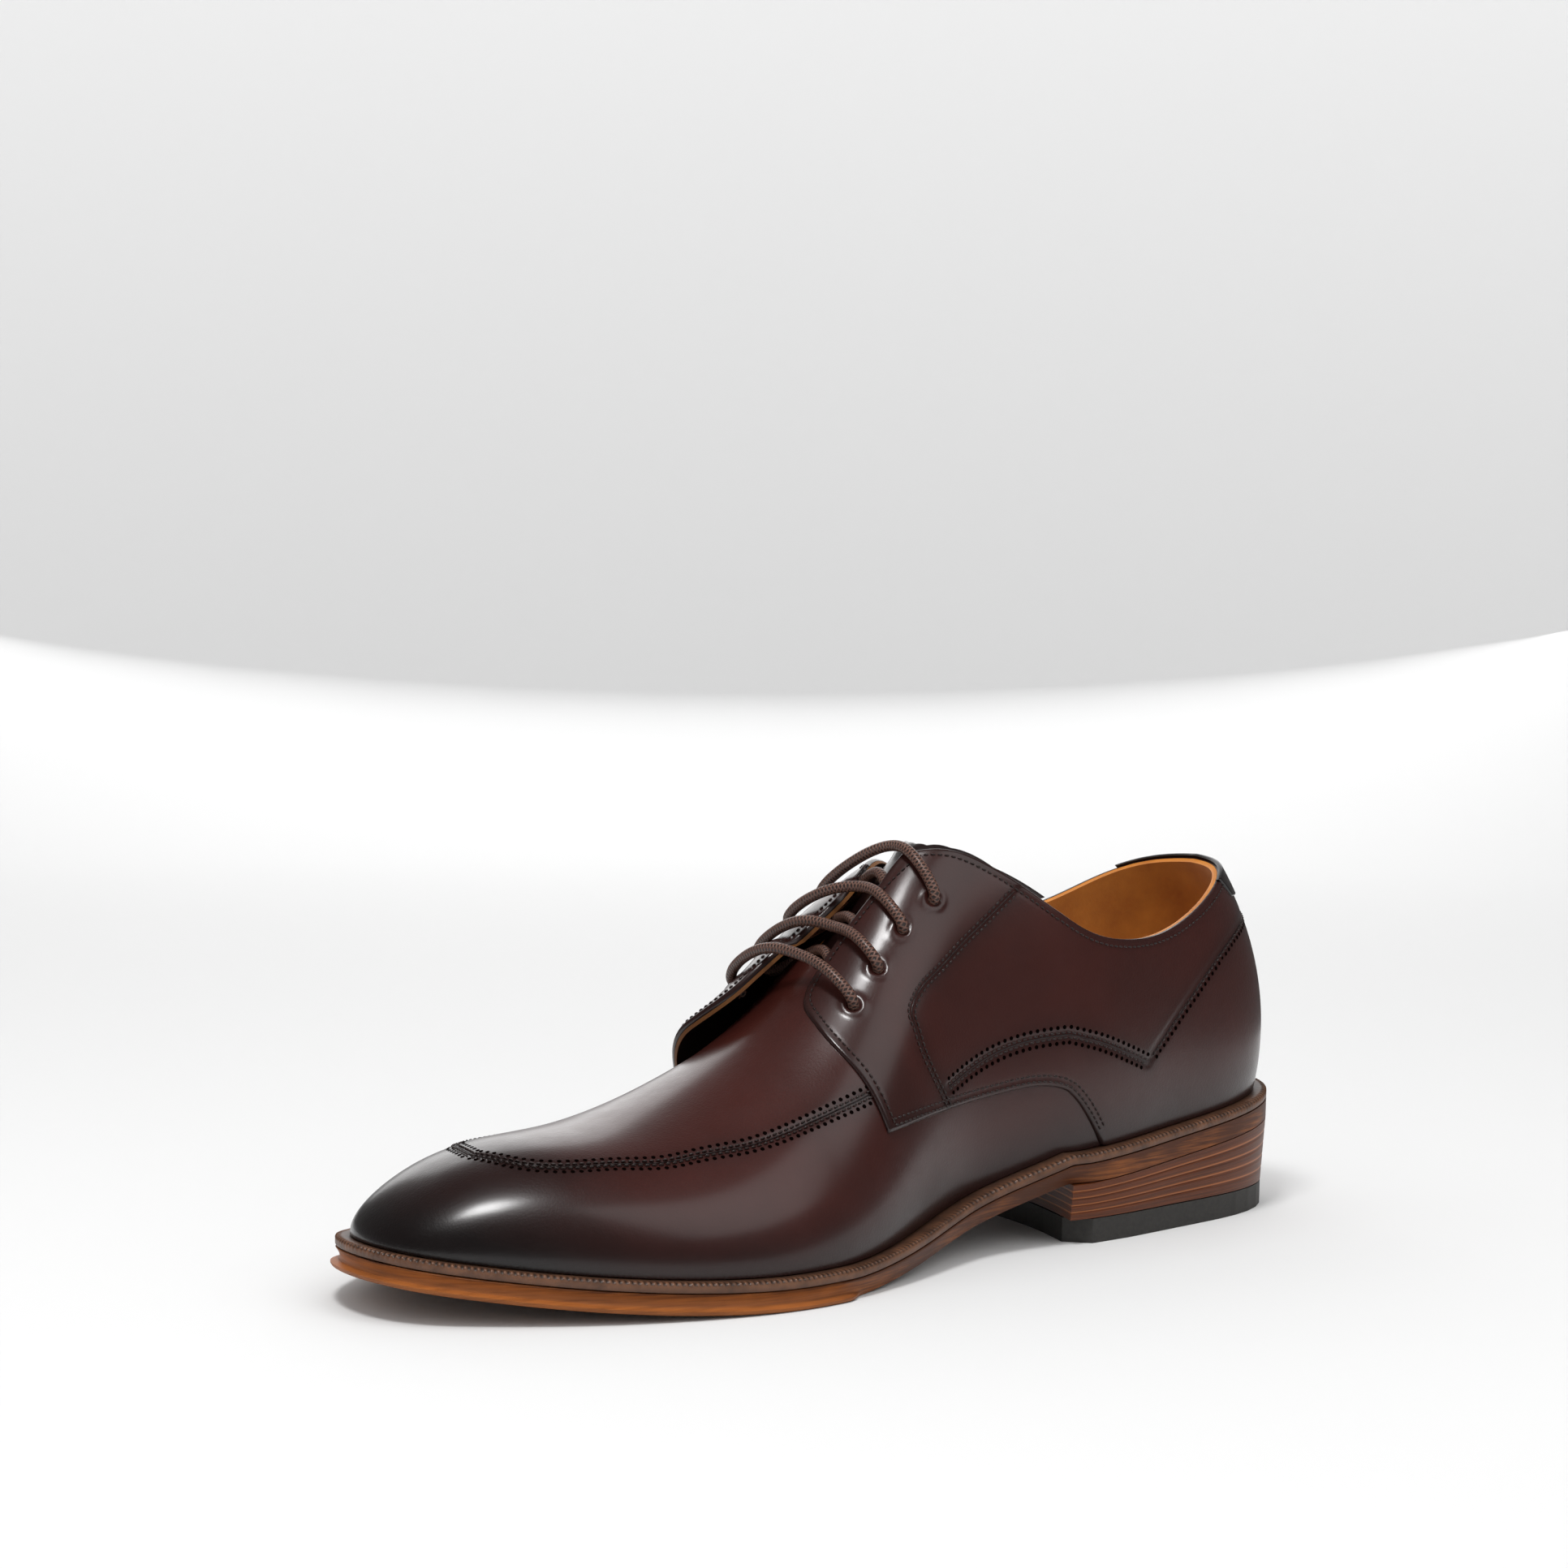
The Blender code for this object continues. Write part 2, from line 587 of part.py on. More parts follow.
def make_insole(material):
    """The board and sock that the foot stands on, inside the upper and the welt."""
    plan = sole_plan(-VAMP_WALL - GAP)
    top = SOLE_THICKNESS + WELT_THICKNESS + INSOLE_THICKNESS
    points, faces = slab([
        (plan, lambda x: underside(x) + SOLE_THICKNESS + GAP),
        (plan, lambda x: underside(x) + top),
    ])
    return make_object("insole", points, faces, material)


def heel_plan(distance, notched):
    """Plan grid of the heel, rounded at the back and hollowed at the breast."""
    rings = plan_ring(margin() + distance)
    steps = np.arange(HEEL_STEPS + 1) / HEEL_STEPS
    sides = []
    for ring, corner in zip(rings, (HEEL_LENGTH + BREAST_SKEW, HEEL_LENGTH - BREAST_SKEW)):
        share = 1 - np.cos(steps * math.pi / 2)
        reach = ring[0, 0] + (corner - ring[0, 0]) * share
        if notched and corner > HEEL_LENGTH:
            reach[-2] = corner - NOTCH_LENGTH
        sides.append(np.stack([reach, np.interp(reach, ring[:, 0], ring[:, 1])], -1))
    across = np.linspace(0, 1, HEEL_STRIPS + 1)
    if notched:
        across[1] = NOTCH_WIDTH / (sides[0][-1, 1] - sides[1][-1, 1])
    plan = sides[0][:, None] * (1 - across[:, None]) + sides[1][:, None] * across[:, None]
    plan[..., 0] -= BREAST_HOLLOW * 4 * across * (1 - across) * steps[:, None] ** 3
    if notched:
        plan[-1, 0] = (plan[-2, 0] + plan[-1, 1]) / 2
    return plan


def make_heel_stack(material):
    points, faces = slab([
        (heel_plan(-HEEL_TAPER, False), lambda x: 0 * x + TOP_LIFT_THICKNESS + GAP),
        (heel_plan(0.0, False), lambda x: underside(x) - GAP),
    ])
    return make_object("heel_stack", points, faces, material)


def make_top_lift(material):
    plan = heel_plan(-HEEL_TAPER, True)
    points, faces = slab([(plan, lambda x: 0 * x), (plan, lambda x: 0 * x + TOP_LIFT_THICKNESS)])
    return make_object("top_lift", points, faces, material)


def make_tongue(material):
    """A curved flap under both facings, from inside the vamp to a little above their tops."""
    front = turn_of(THROAT_LINE[-1].place + TONGUE_REACH / FORM_LENGTH)
    outside = -VAMP_WALL - TONGUE_CLEARANCE
    halves = []
    rows = np.linspace(0, 1, TONGUE_ROWS + 1)
    for side in (INNER, OUTER):
        edge_up = TONGUE_TOP[0].up + (TONGUE_FRONT_UP - TONGUE_TOP[0].up) * smooth(rows / 0.6)
        up = edge_up[:, None] + (1 - edge_up[:, None]) * np.linspace(0, 1, TONGUE_COLUMNS + 1)
        top = np.interp(up, [point.up for point in TONGUE_TOP], [point.place for point in TONGUE_TOP])
        back = turn_of(top - TONGUE_RISE / FORM_LENGTH)
        turn = back + (front - back) * rows[:, None]
        halves.append((off_form(turn, up, side, outside), off_form(turn, up, side, outside - TONGUE_WALL)))
    points = []
    faces = []
    outer = np.concatenate([halves[0][0], halves[1][0][:, -2::-1]], 1)
    inner = np.concatenate([halves[0][1], halves[1][1][:, -2::-1]], 1)
    rows, columns = outer.shape[:2]
    points.extend(outer.reshape(-1, 3))
    points.extend(inner.reshape(-1, 3))
    count = rows * columns
    faces.extend(grid_faces(0, rows, columns))
    faces.extend(grid_faces(count, rows, columns))
    index = np.arange(count).reshape(rows, columns)
    for line in (index[:, 0], index[:, -1], index[0], index[-1]):
        faces.extend(strip_faces(line.tolist(), (line + count).tolist()))
    return make_object("tongue", points, faces, material)


def lace_path(row):
    """A lace bar's centre line: a smooth curve from hole to hole that clears each facing's shoulder."""
    seat = LACE_DIAMETER * row.seat
    over = [
        (row.inner_place, row.inner_up, INNER, seat),
        (row.inner_place, LACE_SHOULDER, INNER, LACE_CLEARANCE + row.inner_rise * LACE_BOW),
        (row.inner_place, 1.0, INNER, LACE_CLEARANCE + row.rise * LACE_BOW),
        (row.outer_place, LACE_SHOULDER, OUTER, LACE_CLEARANCE + row.outer_rise * LACE_BOW),
        (row.outer_place, row.outer_up, OUTER, seat),
    ]
    knots = []
    for place, up, side, clear in over:
        point, normal = eyelet_frame(place, up, side)
        knots.append(point + normal * (LACE_DIAMETER / 2 + clear))
    knots = np.array(knots)
    reach = np.concatenate([[0], np.cumsum(np.linalg.norm(np.diff(knots, axis=0), axis=1))])
    at = np.linspace(0, reach[-1], LACE_STEPS + 1)
    return np.stack([spline(reach, knots[:, i], at) for i in range(3)], -1)


def tube(path):
    """Points and faces of a round tube with flat ends along a path."""
    along = np.gradient(path, axis=0)
    along /= np.linalg.norm(along, axis=1, keepdims=True)
    sideways = np.cross(along, (0, 0, 1.0))
    sideways /= np.linalg.norm(sideways, axis=1, keepdims=True)
    upward = np.cross(sideways, along)
    angle = np.arange(LACE_SIDES) * 2 * math.pi / LACE_SIDES
    ring = np.cos(angle)[None, :, None] * sideways[:, None] + np.sin(angle)[None, :, None] * upward[:, None]
    points = (path[:, None] + ring * LACE_DIAMETER / 2).reshape(-1, 3)
    faces = []
    for i in range(len(path) - 1):
        low = list(range(i * LACE_SIDES, (i + 1) * LACE_SIDES))
        high = [k + LACE_SIDES for k in low]
        faces.extend(strip_faces(low + low[:1], high + high[:1]))
    last = (len(path) - 1) * LACE_SIDES
    faces.append(list(range(LACE_SIDES)))
    faces.append(list(range(last, last + LACE_SIDES)))
    return points, faces


def centre_on_floor(solids):
    """Moves every solid so that the origin is under the middle of the shoe."""
    corners = np.concatenate([np.array([tuple(v.co) for v in solid.data.vertices]) for solid in solids])
    low = corners.min(0)
    high = corners.max(0)
    middle = ((low[0] + high[0]) / 2, (low[1] + high[1]) / 2, low[2])
    for solid in solids:
        solid.location = (-middle[0], -middle[1], -middle[2])


for old in list(bpy.data.objects):
    bpy.data.objects.remove(old)

upper_leather = make_material("burnished_calf", (0.045, 0.016, 0.011), 0.32)
lining_leather = make_material("tan_lining", (0.45, 0.17, 0.035), 0.55)
sole_leather = make_material("sole_leather", (0.27, 0.085, 0.026), 0.45)
welt_leather = make_material("welt_leather", (0.065, 0.035, 0.02), 0.5)
stacked_leather = make_material("stacked_leather", (0.11, 0.035, 0.014), 0.4)
heel_rubber = make_material("heel_rubber", (0.025, 0.023, 0.02), 0.7)
waxed_cord = make_material("waxed_cord", (0.07, 0.035, 0.025), 0.5)

shoe = [
    make_outsole(sole_leather),
    make_welt(welt_leather),
    make_heel_stack(stacked_leather),
    make_top_lift(heel_rubber),
    make_insole(lining_leather),
    make_upper(upper_leather),
    make_tongue(upper_leather),
]
for number, row in enumerate(EYELETS, 1):
    shoe.append(make_object("lace_bar_%d" % number, *tube(lace_path(row)), waxed_cord))
centre_on_floor(shoe)
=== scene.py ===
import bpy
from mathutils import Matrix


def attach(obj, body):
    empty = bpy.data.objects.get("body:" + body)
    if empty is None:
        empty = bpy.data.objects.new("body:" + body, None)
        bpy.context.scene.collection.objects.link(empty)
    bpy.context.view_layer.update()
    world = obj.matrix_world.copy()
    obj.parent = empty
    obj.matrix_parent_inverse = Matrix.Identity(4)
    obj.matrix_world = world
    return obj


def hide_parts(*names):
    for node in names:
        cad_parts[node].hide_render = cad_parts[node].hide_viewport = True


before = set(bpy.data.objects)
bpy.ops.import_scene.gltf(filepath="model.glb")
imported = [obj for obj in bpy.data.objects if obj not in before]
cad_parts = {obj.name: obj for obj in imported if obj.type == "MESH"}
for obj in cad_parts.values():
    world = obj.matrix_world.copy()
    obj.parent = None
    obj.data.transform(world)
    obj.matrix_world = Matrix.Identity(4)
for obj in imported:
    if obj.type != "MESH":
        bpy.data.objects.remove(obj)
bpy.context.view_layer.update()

import math

import bmesh
import bpy
import numpy as np
from mathutils import Matrix, Vector

# The camera stands in front of the shoe's inner side, a little above it, as the photograph's did.
# AIM is the point of the shoe that lands on AIM_PIXEL, in an image of 1932 by 1932 pixels.
ORBIT = math.radians(37.502)
ELEVATION = math.radians(8.607)
ROLL = math.radians(0.708)
IMAGE_SIDE = 1932
FOCAL_PIXELS = 4285.6
AIM = np.array([-0.00485, -0.0016, 0.045])
AIM_PIXEL = (1049.87, 1330.87)
IMAGE_CENTRE = (937.4, 1298.6)
DISTANCE = 0.9407
SENSOR = 36.0

backward = np.array([
    math.sin(ORBIT) * math.cos(ELEVATION), math.cos(ORBIT) * math.cos(ELEVATION), math.sin(ELEVATION)])
level = np.array([-math.cos(ORBIT), math.sin(ORBIT), 0.0])
overhead = np.cross(level, -backward)
rightward = math.cos(ROLL) * level + math.sin(ROLL) * overhead
upward = -math.sin(ROLL) * level + math.cos(ROLL) * overhead
across = (AIM_PIXEL[0] - IMAGE_CENTRE[0]) / FOCAL_PIXELS * DISTANCE
down = (AIM_PIXEL[1] - IMAGE_CENTRE[1]) / FOCAL_PIXELS * DISTANCE
camera_data = bpy.data.cameras.new("photo_camera")
camera_data.sensor_width = SENSOR
camera_data.lens = FOCAL_PIXELS / IMAGE_SIDE * SENSOR
camera_data.shift_x = (IMAGE_SIDE / 2 - IMAGE_CENTRE[0]) / IMAGE_SIDE
camera_data.shift_y = (IMAGE_CENTRE[1] - IMAGE_SIDE / 2) / IMAGE_SIDE
camera_data.clip_start = 0.01
camera = bpy.data.objects.new("photo_camera", camera_data)
place = AIM + DISTANCE * backward - across * rightward + down * upward
camera.matrix_world = Matrix([*np.stack([rightward, upward, backward, place], -1).tolist(), (0, 0, 0, 1)])
bpy.context.scene.collection.objects.link(camera)
bpy.context.scene.camera = camera


# The stage: a roll of matt white paper that lies under the shoe and curves up all round it, with
# soft boxes over the toe, on the upper right, behind and overhead.
FLOOR_GLOW = 0.0
WALL_GLOW = 0.42
PAPER_NEAR = 0.5
PAPER_FLAT = 1.1
PAPER_CURVE = 0.9
PAPER_HEIGHT = 3.0
WORLD_GLOW = 0.10
TOE = (0.125, 0.012, 0.035)
INSTEP = (0.0, 0.0, 0.05)


def linear(code):
    """A hex colour as the three linear numbers that a shader takes."""
    share = np.array([int(code[i:i + 2], 16) for i in (1, 3, 5)]) / 255
    return np.where(share <= 0.04045, share / 12.92, ((share + 0.055) / 1.055) ** 2.4)


def rgba(code):
    return (*linear(code), 1.0)


def add_node(tree, kind, inputs=(), **settings):
    """Adds a node, with its settings, and fills its inputs with values or with other nodes' outputs."""
    node = tree.nodes.new(kind)
    for name, value in settings.items():
        setattr(node, name, value)
    for name, value in dict(inputs).items():
        if isinstance(value, bpy.types.NodeSocket):
            tree.links.new(value, node.inputs[name])
        else:
            node.inputs[name].default_value = value
    return node


def new_material(name, **values):
    """A material with one Principled shader, whose sockets take the given values."""
    material = bpy.data.materials.new(name)
    material.use_nodes = True
    tree = material.node_tree
    shader = tree.nodes["Principled BSDF"]
    for key, value in values.items():
        shader.inputs[key.replace("_", " ")].default_value = value
    return material, tree, shader


def new_piece(name, points, faces, material, sharp=40.0, values=None, uv=None):
    """A mesh object from point and face arrays, with smooth faces and per-point values."""
    mesh = bpy.data.meshes.new(name)
    mesh.from_pydata(np.asarray(points, float).tolist(), [], [list(map(int, face)) for face in faces])
    for key, value in (values or {}).items():
        attribute = mesh.attributes.new(key, "FLOAT", "POINT")
        attribute.data.foreach_set("value", np.asarray(value, np.float32).ravel())
    if uv is not None:
        layer = mesh.uv_layers.new(name="along")
        corner = np.empty(len(mesh.loops), np.int32)
        mesh.loops.foreach_get("vertex_index", corner)
        layer.data.foreach_set("uv", np.asarray(uv, np.float32)[corner].ravel())
    body = bmesh.new()
    body.from_mesh(mesh)
    bmesh.ops.remove_doubles(body, verts=body.verts, dist=2e-6)
    bmesh.ops.dissolve_degenerate(body, edges=body.edges, dist=1e-6)
    bmesh.ops.recalc_face_normals(body, faces=body.faces)
    body.to_mesh(mesh)
    body.free()
    mesh.shade_smooth()
    mesh.set_sharp_from_angle(angle=math.radians(sharp))
    mesh.materials.append(material)
    piece = bpy.data.objects.new(name, mesh)
    bpy.context.scene.collection.objects.link(piece)
    return piece


def grid_faces(rows, columns, first=0, closed=False):
    """Quads over a grid of points numbered row by row; closed joins the last column to the first."""
    index = first + np.arange(rows * columns).reshape(rows, columns)
    if closed:
        index = np.concatenate([index, index[:, :1]], 1)
    return np.stack([index[:-1, :-1], index[1:, :-1], index[1:, 1:], index[:-1, 1:]], -1).reshape(-1, 4)


paper, tree, shader = new_material("matt_white_paper", Base_Color=rgba("#d0d0d0"), Roughness=0.95)
shader.inputs["Specular IOR Level"].default_value = 0.0
shader.inputs["Emission Strength"].default_value = 1.0
# The paper glows where it stands up, as a lit white backdrop does, and not on the floor.
spot = add_node(tree, "ShaderNodeTexCoord").outputs["Object"]
split = add_node(tree, "ShaderNodeSeparateXYZ", {"Vector": spot})
rise = add_node(tree, "ShaderNodeMapRange", {"Value": split.outputs["Z"], "From Min": 0.0, "From Max": 1.0})
glow = add_node(tree, "ShaderNodeMix", {
    "Factor": rise.outputs["Result"], 6: (FLOOR_GLOW, FLOOR_GLOW, FLOOR_GLOW, 1),
    7: (WALL_GLOW, WALL_GLOW, WALL_GLOW, 1)}, data_type="RGBA")
tree.links.new(glow.outputs[2], shader.inputs["Emission Color"])
bend = np.linspace(0, math.pi / 2, 24)
profile = np.concatenate([
    [[0.0, 0.0], [PAPER_NEAR, 0.0]],
    np.stack([PAPER_FLAT + PAPER_CURVE * np.sin(bend), PAPER_CURVE * (1 - np.cos(bend))], -1),
    [[PAPER_FLAT + PAPER_CURVE, PAPER_HEIGHT]],
])
heading = np.linspace(0, 2 * math.pi, 97)[:-1]
ring = np.stack([
    np.cos(heading)[None] * profile[:, :1], np.sin(heading)[None] * profile[:, :1],
    np.repeat(profile[:, 1:], len(heading), 1)], -1)
around = len(heading)
floor = new_piece("paper_floor", ring[:2].reshape(-1, 3), grid_faces(2, around, closed=True), paper, 180)
sweep = new_piece(
    "paper_sweep", ring[1:].reshape(-1, 3), grid_faces(len(profile) - 1, around, closed=True), paper)
sweep.visible_glossy = False

world = bpy.data.worlds.new("studio")
world.use_nodes = True
world.node_tree.nodes["Background"].inputs["Color"].default_value = (1, 1, 1, 1)
world.node_tree.nodes["Background"].inputs["Strength"].default_value = WORLD_GLOW
bpy.context.scene.world = world
bpy.context.scene.view_settings.view_transform = "Standard"
# The paper's light is spent after two bounces, which keeps a final render short.
bpy.context.scene.cycles.diffuse_bounces = 2


def soft_box(name, aim, bearing, elevation, distance, width, tall, power):
    """An area light aimed at a point: bearing runs from the camera's side round to the right, in degrees."""
    data = bpy.data.lights.new(name, "AREA")
    data.shape = "RECTANGLE"
    data.size = width
    data.size_y = tall
    data.energy = power
    light = bpy.data.objects.new(name, data)
    turn = math.radians(bearing)
    front = Vector((math.sin(ORBIT), math.cos(ORBIT), 0))
    flat = Vector(level) * math.sin(turn) + front * math.cos(turn)
    climb = math.radians(elevation)
    toward = flat * math.cos(climb) + Vector((0, 0, math.sin(climb)))
    light.location = toward * distance + Vector(aim)
    light.rotation_euler = toward.to_track_quat("Z", "Y").to_euler()
    bpy.context.scene.collection.objects.link(light)
    return light


soft_box("toe_box", TOE, bearing=-18, elevation=72, distance=1.2, width=0.24, tall=0.24, power=8.0)
soft_box("right_top_box", INSTEP, bearing=58, elevation=46, distance=1.35, width=0.8, tall=0.9, power=3.2)
soft_box("back_box", INSTEP, bearing=182, elevation=19, distance=1.40, width=1.3, tall=0.8, power=5.0)
top_box = soft_box("top_box", INSTEP, bearing=0, elevation=90, distance=2.6, width=2.4, tall=2.4, power=28.0)
top_box.visible_glossy = False


# Outsole: one thickness of oak-bark tanned leather, cut close at the waist, with a hollowed side
# and a flared lower lip in the forepart. Its edge is stained, waxed and polished. Like the upper,
# it follows the last, the wooden form that the shoe is made on.
FORM_LENGTH = 0.293
BALL_WIDTH = 0.1062
INSTEP_HEIGHT = 0.100
BACK_BULGE_HEIGHT = 0.018
BACK_LEAN = 0.0165
SOLE_THICKNESS = 0.0052
WELT_THICKNESS = 0.0029
WELT_MARGIN = 0.0037
TOE_SPRING = 0.0088
SPRING_START = 0.200
WAIST_END = 0.184
HEEL_BACK_HEIGHT = 0.0262
HEEL_BREAST_HEIGHT = 0.0172
HEEL_LENGTH = 0.0885
BREAST_SKEW = 0.0060
QUARTER_STEP = 0.0011
COLLAR_BACK_HEIGHT = 0.0970
GAP = 0.0003
SOLE_LIP = 0.0012
SOLE_HOLLOW = 0.0010
WAIST_BEVEL = 0.0022
SOLE_COLUMNS = 220
SOLE_STRIPS = 24
SHOE_MIDDLE = np.array([0.14655, 0.0016, 0.0])
# share of the thickness, share of the lip, of the hollow and of the waist's bevel
SOLE_SIDE = [
    (0.00, 0.35, 0.0, 1.00), (0.05, 0.75, 0.0, 0.95), (0.14, 1.00, 0.0, 0.88), (0.22, 1.00, 0.0, 0.80),
    (0.28, 0.55, 0.3, 0.74), (0.36, 0.05, 0.9, 0.62), (0.50, 0.0, 1.15, 0.45), (0.68, 0.0, 1.0, 0.25),
    (0.84, 0.0, 0.55, 0.10), (0.95, 0.0, 0.10, 0.0), (1.00, 0.0, 0.35, 0.06),
]
INNER = 1
OUTER = -1
# The last's cross-sections from heel to toe: where each is along the length, how far it reaches to
# each side and how high its ridge is, as shares of the length, the ball's width and the instep's
# height, then the shares that shape its curve. The columns are named in SECTION_COLUMNS.
SECTIONS = np.array([
    (0.000, 0.000, 0.000, 1.000, 0.06, 0.05, 0.30, 0.72, 0.74, 0.000),
    (0.030, 0.178, 0.186, 1.005, 0.08, 0.06, 0.32, 0.72, 0.74, 0.000),
    (0.100, 0.262, 0.272, 1.010, 0.11, 0.11, 0.40, 0.72, 0.72, 0.002),
    (0.185, 0.292, 0.300, 1.015, 0.14, 0.13, 0.44, 0.70, 0.68, 0.005),
    (0.308, 0.316, 0.322, 1.000, 0.15, 0.12, 0.44, 0.65, 0.61, 0.022),
    (0.430, 0.300, 0.358, 0.940, 0.14, 0.10, 0.42, 0.57, 0.59, 0.048),
    (0.552, 0.424, 0.417, 0.650, 0.11, 0.06, 0.42, 0.52, 0.57, 0.065),
    (0.675, 0.503, 0.468, 0.430, 0.05, 0.04, 0.46, 0.50, 0.58, 0.063),
    (0.776, 0.464, 0.463, 0.325, 0.03, 0.03, 0.51, 0.55, 0.59, 0.051),
    (0.868, 0.366, 0.402, 0.276, 0.03, 0.03, 0.51, 0.60, 0.60, 0.040),
    (0.939, 0.252, 0.288, 0.190, 0.03, 0.02, 0.50, 0.65, 0.63, 0.030),
    (0.985, 0.141, 0.162, 0.082, 0.03, 0.01, 0.49, 0.70, 0.68, 0.020),
    (1.000, 0.000, 0.000, 0.000, 0.03, 0.02, 0.49, 0.70, 0.69, 0.010),
])
SECTION_COLUMNS = dict(
    inner=1, outer=2, ridge=3, inner_bulge=4, outer_bulge=5, waistline=6, inner_crown=7, outer_crown=8,
    lean=9)


def spline(knots, values, at):
    """A natural cubic spline: one linear system gives its bends at the knots, and each span is a cubic."""
    knots = np.asarray(knots, float)
    values = np.asarray(values, float)
    count = len(knots)
    step = np.diff(knots)
    system = np.eye(count)
    right = np.zeros(count)
    inside = np.arange(1, count - 1)
    system[inside, inside - 1] = step[:-1]
    system[inside, inside] = 2 * (step[:-1] + step[1:])
    system[inside, inside + 1] = step[1:]
    right[1:-1] = 6 * (np.diff(values)[1:] / step[1:] - np.diff(values)[:-1] / step[:-1])
    bending = np.linalg.solve(system, right)
    k = np.clip(np.searchsorted(knots, at) - 1, 0, count - 2)
    after = at - knots[k]
    before = knots[k + 1] - at
    width = step[k]
    curved = (bending[k] * before ** 3 + bending[k + 1] * after ** 3) / (6 * width)
    return (curved + (values[k] / width - bending[k] * width / 6) * before
            + (values[k + 1] / width - bending[k + 1] * width / 6) * after)


def smooth(t):
    """0 below 0 and 1 above 1, with a soft start and end: three t squared less two t cubed."""
    t = np.clip(t, 0, 1)
    return t * t * (3 - 2 * t)


def turn_of(place):
    """The angle that stands for a place along the form: 0 at the back, pi at the toe."""
    return np.arccos(1 - 2 * np.clip(place, 0, 1))


def place_of(turn):
    return (1 - np.cos(turn)) / 2


def underside(x):
    """Height of the outsole's underside: heel seat, waist, flat tread, then toe spring."""
    seat = np.clip(1 - x / HEEL_LENGTH, 0, 1.2) ** 1.15
    waist_start = HEEL_LENGTH + BREAST_SKEW
    waist = np.clip((WAIST_END - x) / (WAIST_END - waist_start), 0, 1) ** 1.5
    spring = np.clip((x - SPRING_START) / (FORM_LENGTH - SPRING_START), 0, 2) ** 1.8
    return HEEL_BREAST_HEIGHT * waist + (HEEL_BACK_HEIGHT - HEEL_BREAST_HEIGHT) * seat + TOE_SPRING * spring


def seat_height(x):
    return underside(x) + SOLE_THICKNESS + WELT_THICKNESS + GAP


def form(turn, up, side):
    """The outer face of the lasted leather.

    Each section is a cubic curve from the feather edge (up = 0), out to the bulge, in over the
    crown and level at the ridge (up = 1). turn and up are arrays of one shape.
    """
    kind = "inner" if side == INNER else "outer"
    knots = turn_of(SECTIONS[:, 0])
    flat = np.asarray(turn, float)

    def column(name):
        return spline(knots, SECTIONS[:, SECTION_COLUMNS[name]], flat)

    half = side * BALL_WIDTH * np.maximum(column(kind), 0)
    lean = BALL_WIDTH * column("lean") * np.sin(flat)
    foot = FORM_LENGTH * place_of(flat)
    low = seat_height(foot)
    rise = INSTEP_HEIGHT * column("ridge")
    weights = [(1 - up) ** 3, 3 * up * (1 - up) ** 2, 3 * up ** 2 * (1 - up), up ** 3]
    reach = [half, half * (1 + column(kind + "_bulge")), half * column(kind + "_crown") + lean, lean]
    height = [0, rise * column("waistline"), rise, rise]
    y = sum(w * a for w, a in zip(weights, reach))
    z = low + sum(w * h for w, h in zip(weights, height))
    fade = np.clip(1 - (flat / 1.1) ** 2, 0, 1) ** 2
    above = COLLAR_BACK_HEIGHT - seat_height(0.0) - BACK_BULGE_HEIGHT
    lean_in = ((z - low - BACK_BULGE_HEIGHT) / above) ** 2 - (BACK_BULGE_HEIGHT / above) ** 2
    x = foot + fade * BACK_LEAN * np.minimum(lean_in, 1.2)
    return np.stack([x, y, z], -1) - SHOE_MIDDLE


def outward(turn, up, side):
    """Unit normals of the form, level at the feather edge and unturned on the back seam."""
    step = 1e-4
    low_turn = np.clip(turn - step, 0, math.pi)
    high_turn = np.clip(turn + step, 0, math.pi)
    along = form(high_turn, up, side) - form(low_turn, up, side)
    around = form(turn, np.clip(up + step, 0, 1), side) - form(turn, np.clip(up - step, 0, 1), side)
    normal = -side * np.cross(along, around)
    normal[..., 1] *= smooth(turn / 0.05)
    normal[..., 2] *= smooth(up / 0.12)
    normal = normal / np.maximum(np.linalg.norm(normal, axis=-1, keepdims=True), 1e-15)
    normal[turn > math.pi - 1e-6] = (1, 0, 0)
    return normal


def off_form(turn, up, side, distance):
    distance = np.broadcast_to(distance, np.shape(turn))
    return form(turn, up, side) + outward(turn, up, side) * distance[..., None]


def plan_ring(turns, distance):
    """The feather edge moved out by a distance, as its inner and outer halves from back to toe."""
    at_feather = np.zeros_like(turns)
    return [off_form(turns, at_feather, side, distance)[:, :2] + SHOE_MIDDLE[:2] for side in (INNER, OUTER)]


def margin(turns):
    """How far the sole stands out from the form: more where the quarters cover it."""
    return WELT_MARGIN + QUARTER_STEP * (1 - smooth((place_of(turns) - 0.48) / 0.12))


def worn_by(piece, slot, *nodes):
    """The piece rides on the shoe and hides the CAD nodes that it stands for; slot is not used."""
    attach(piece, "root")
    if nodes:
        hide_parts(*nodes)
    return piece


def ring_loop(turns, distance):
    inner, outer = plan_ring(turns, distance)
    return np.concatenate([inner, outer[-2:0:-1]])


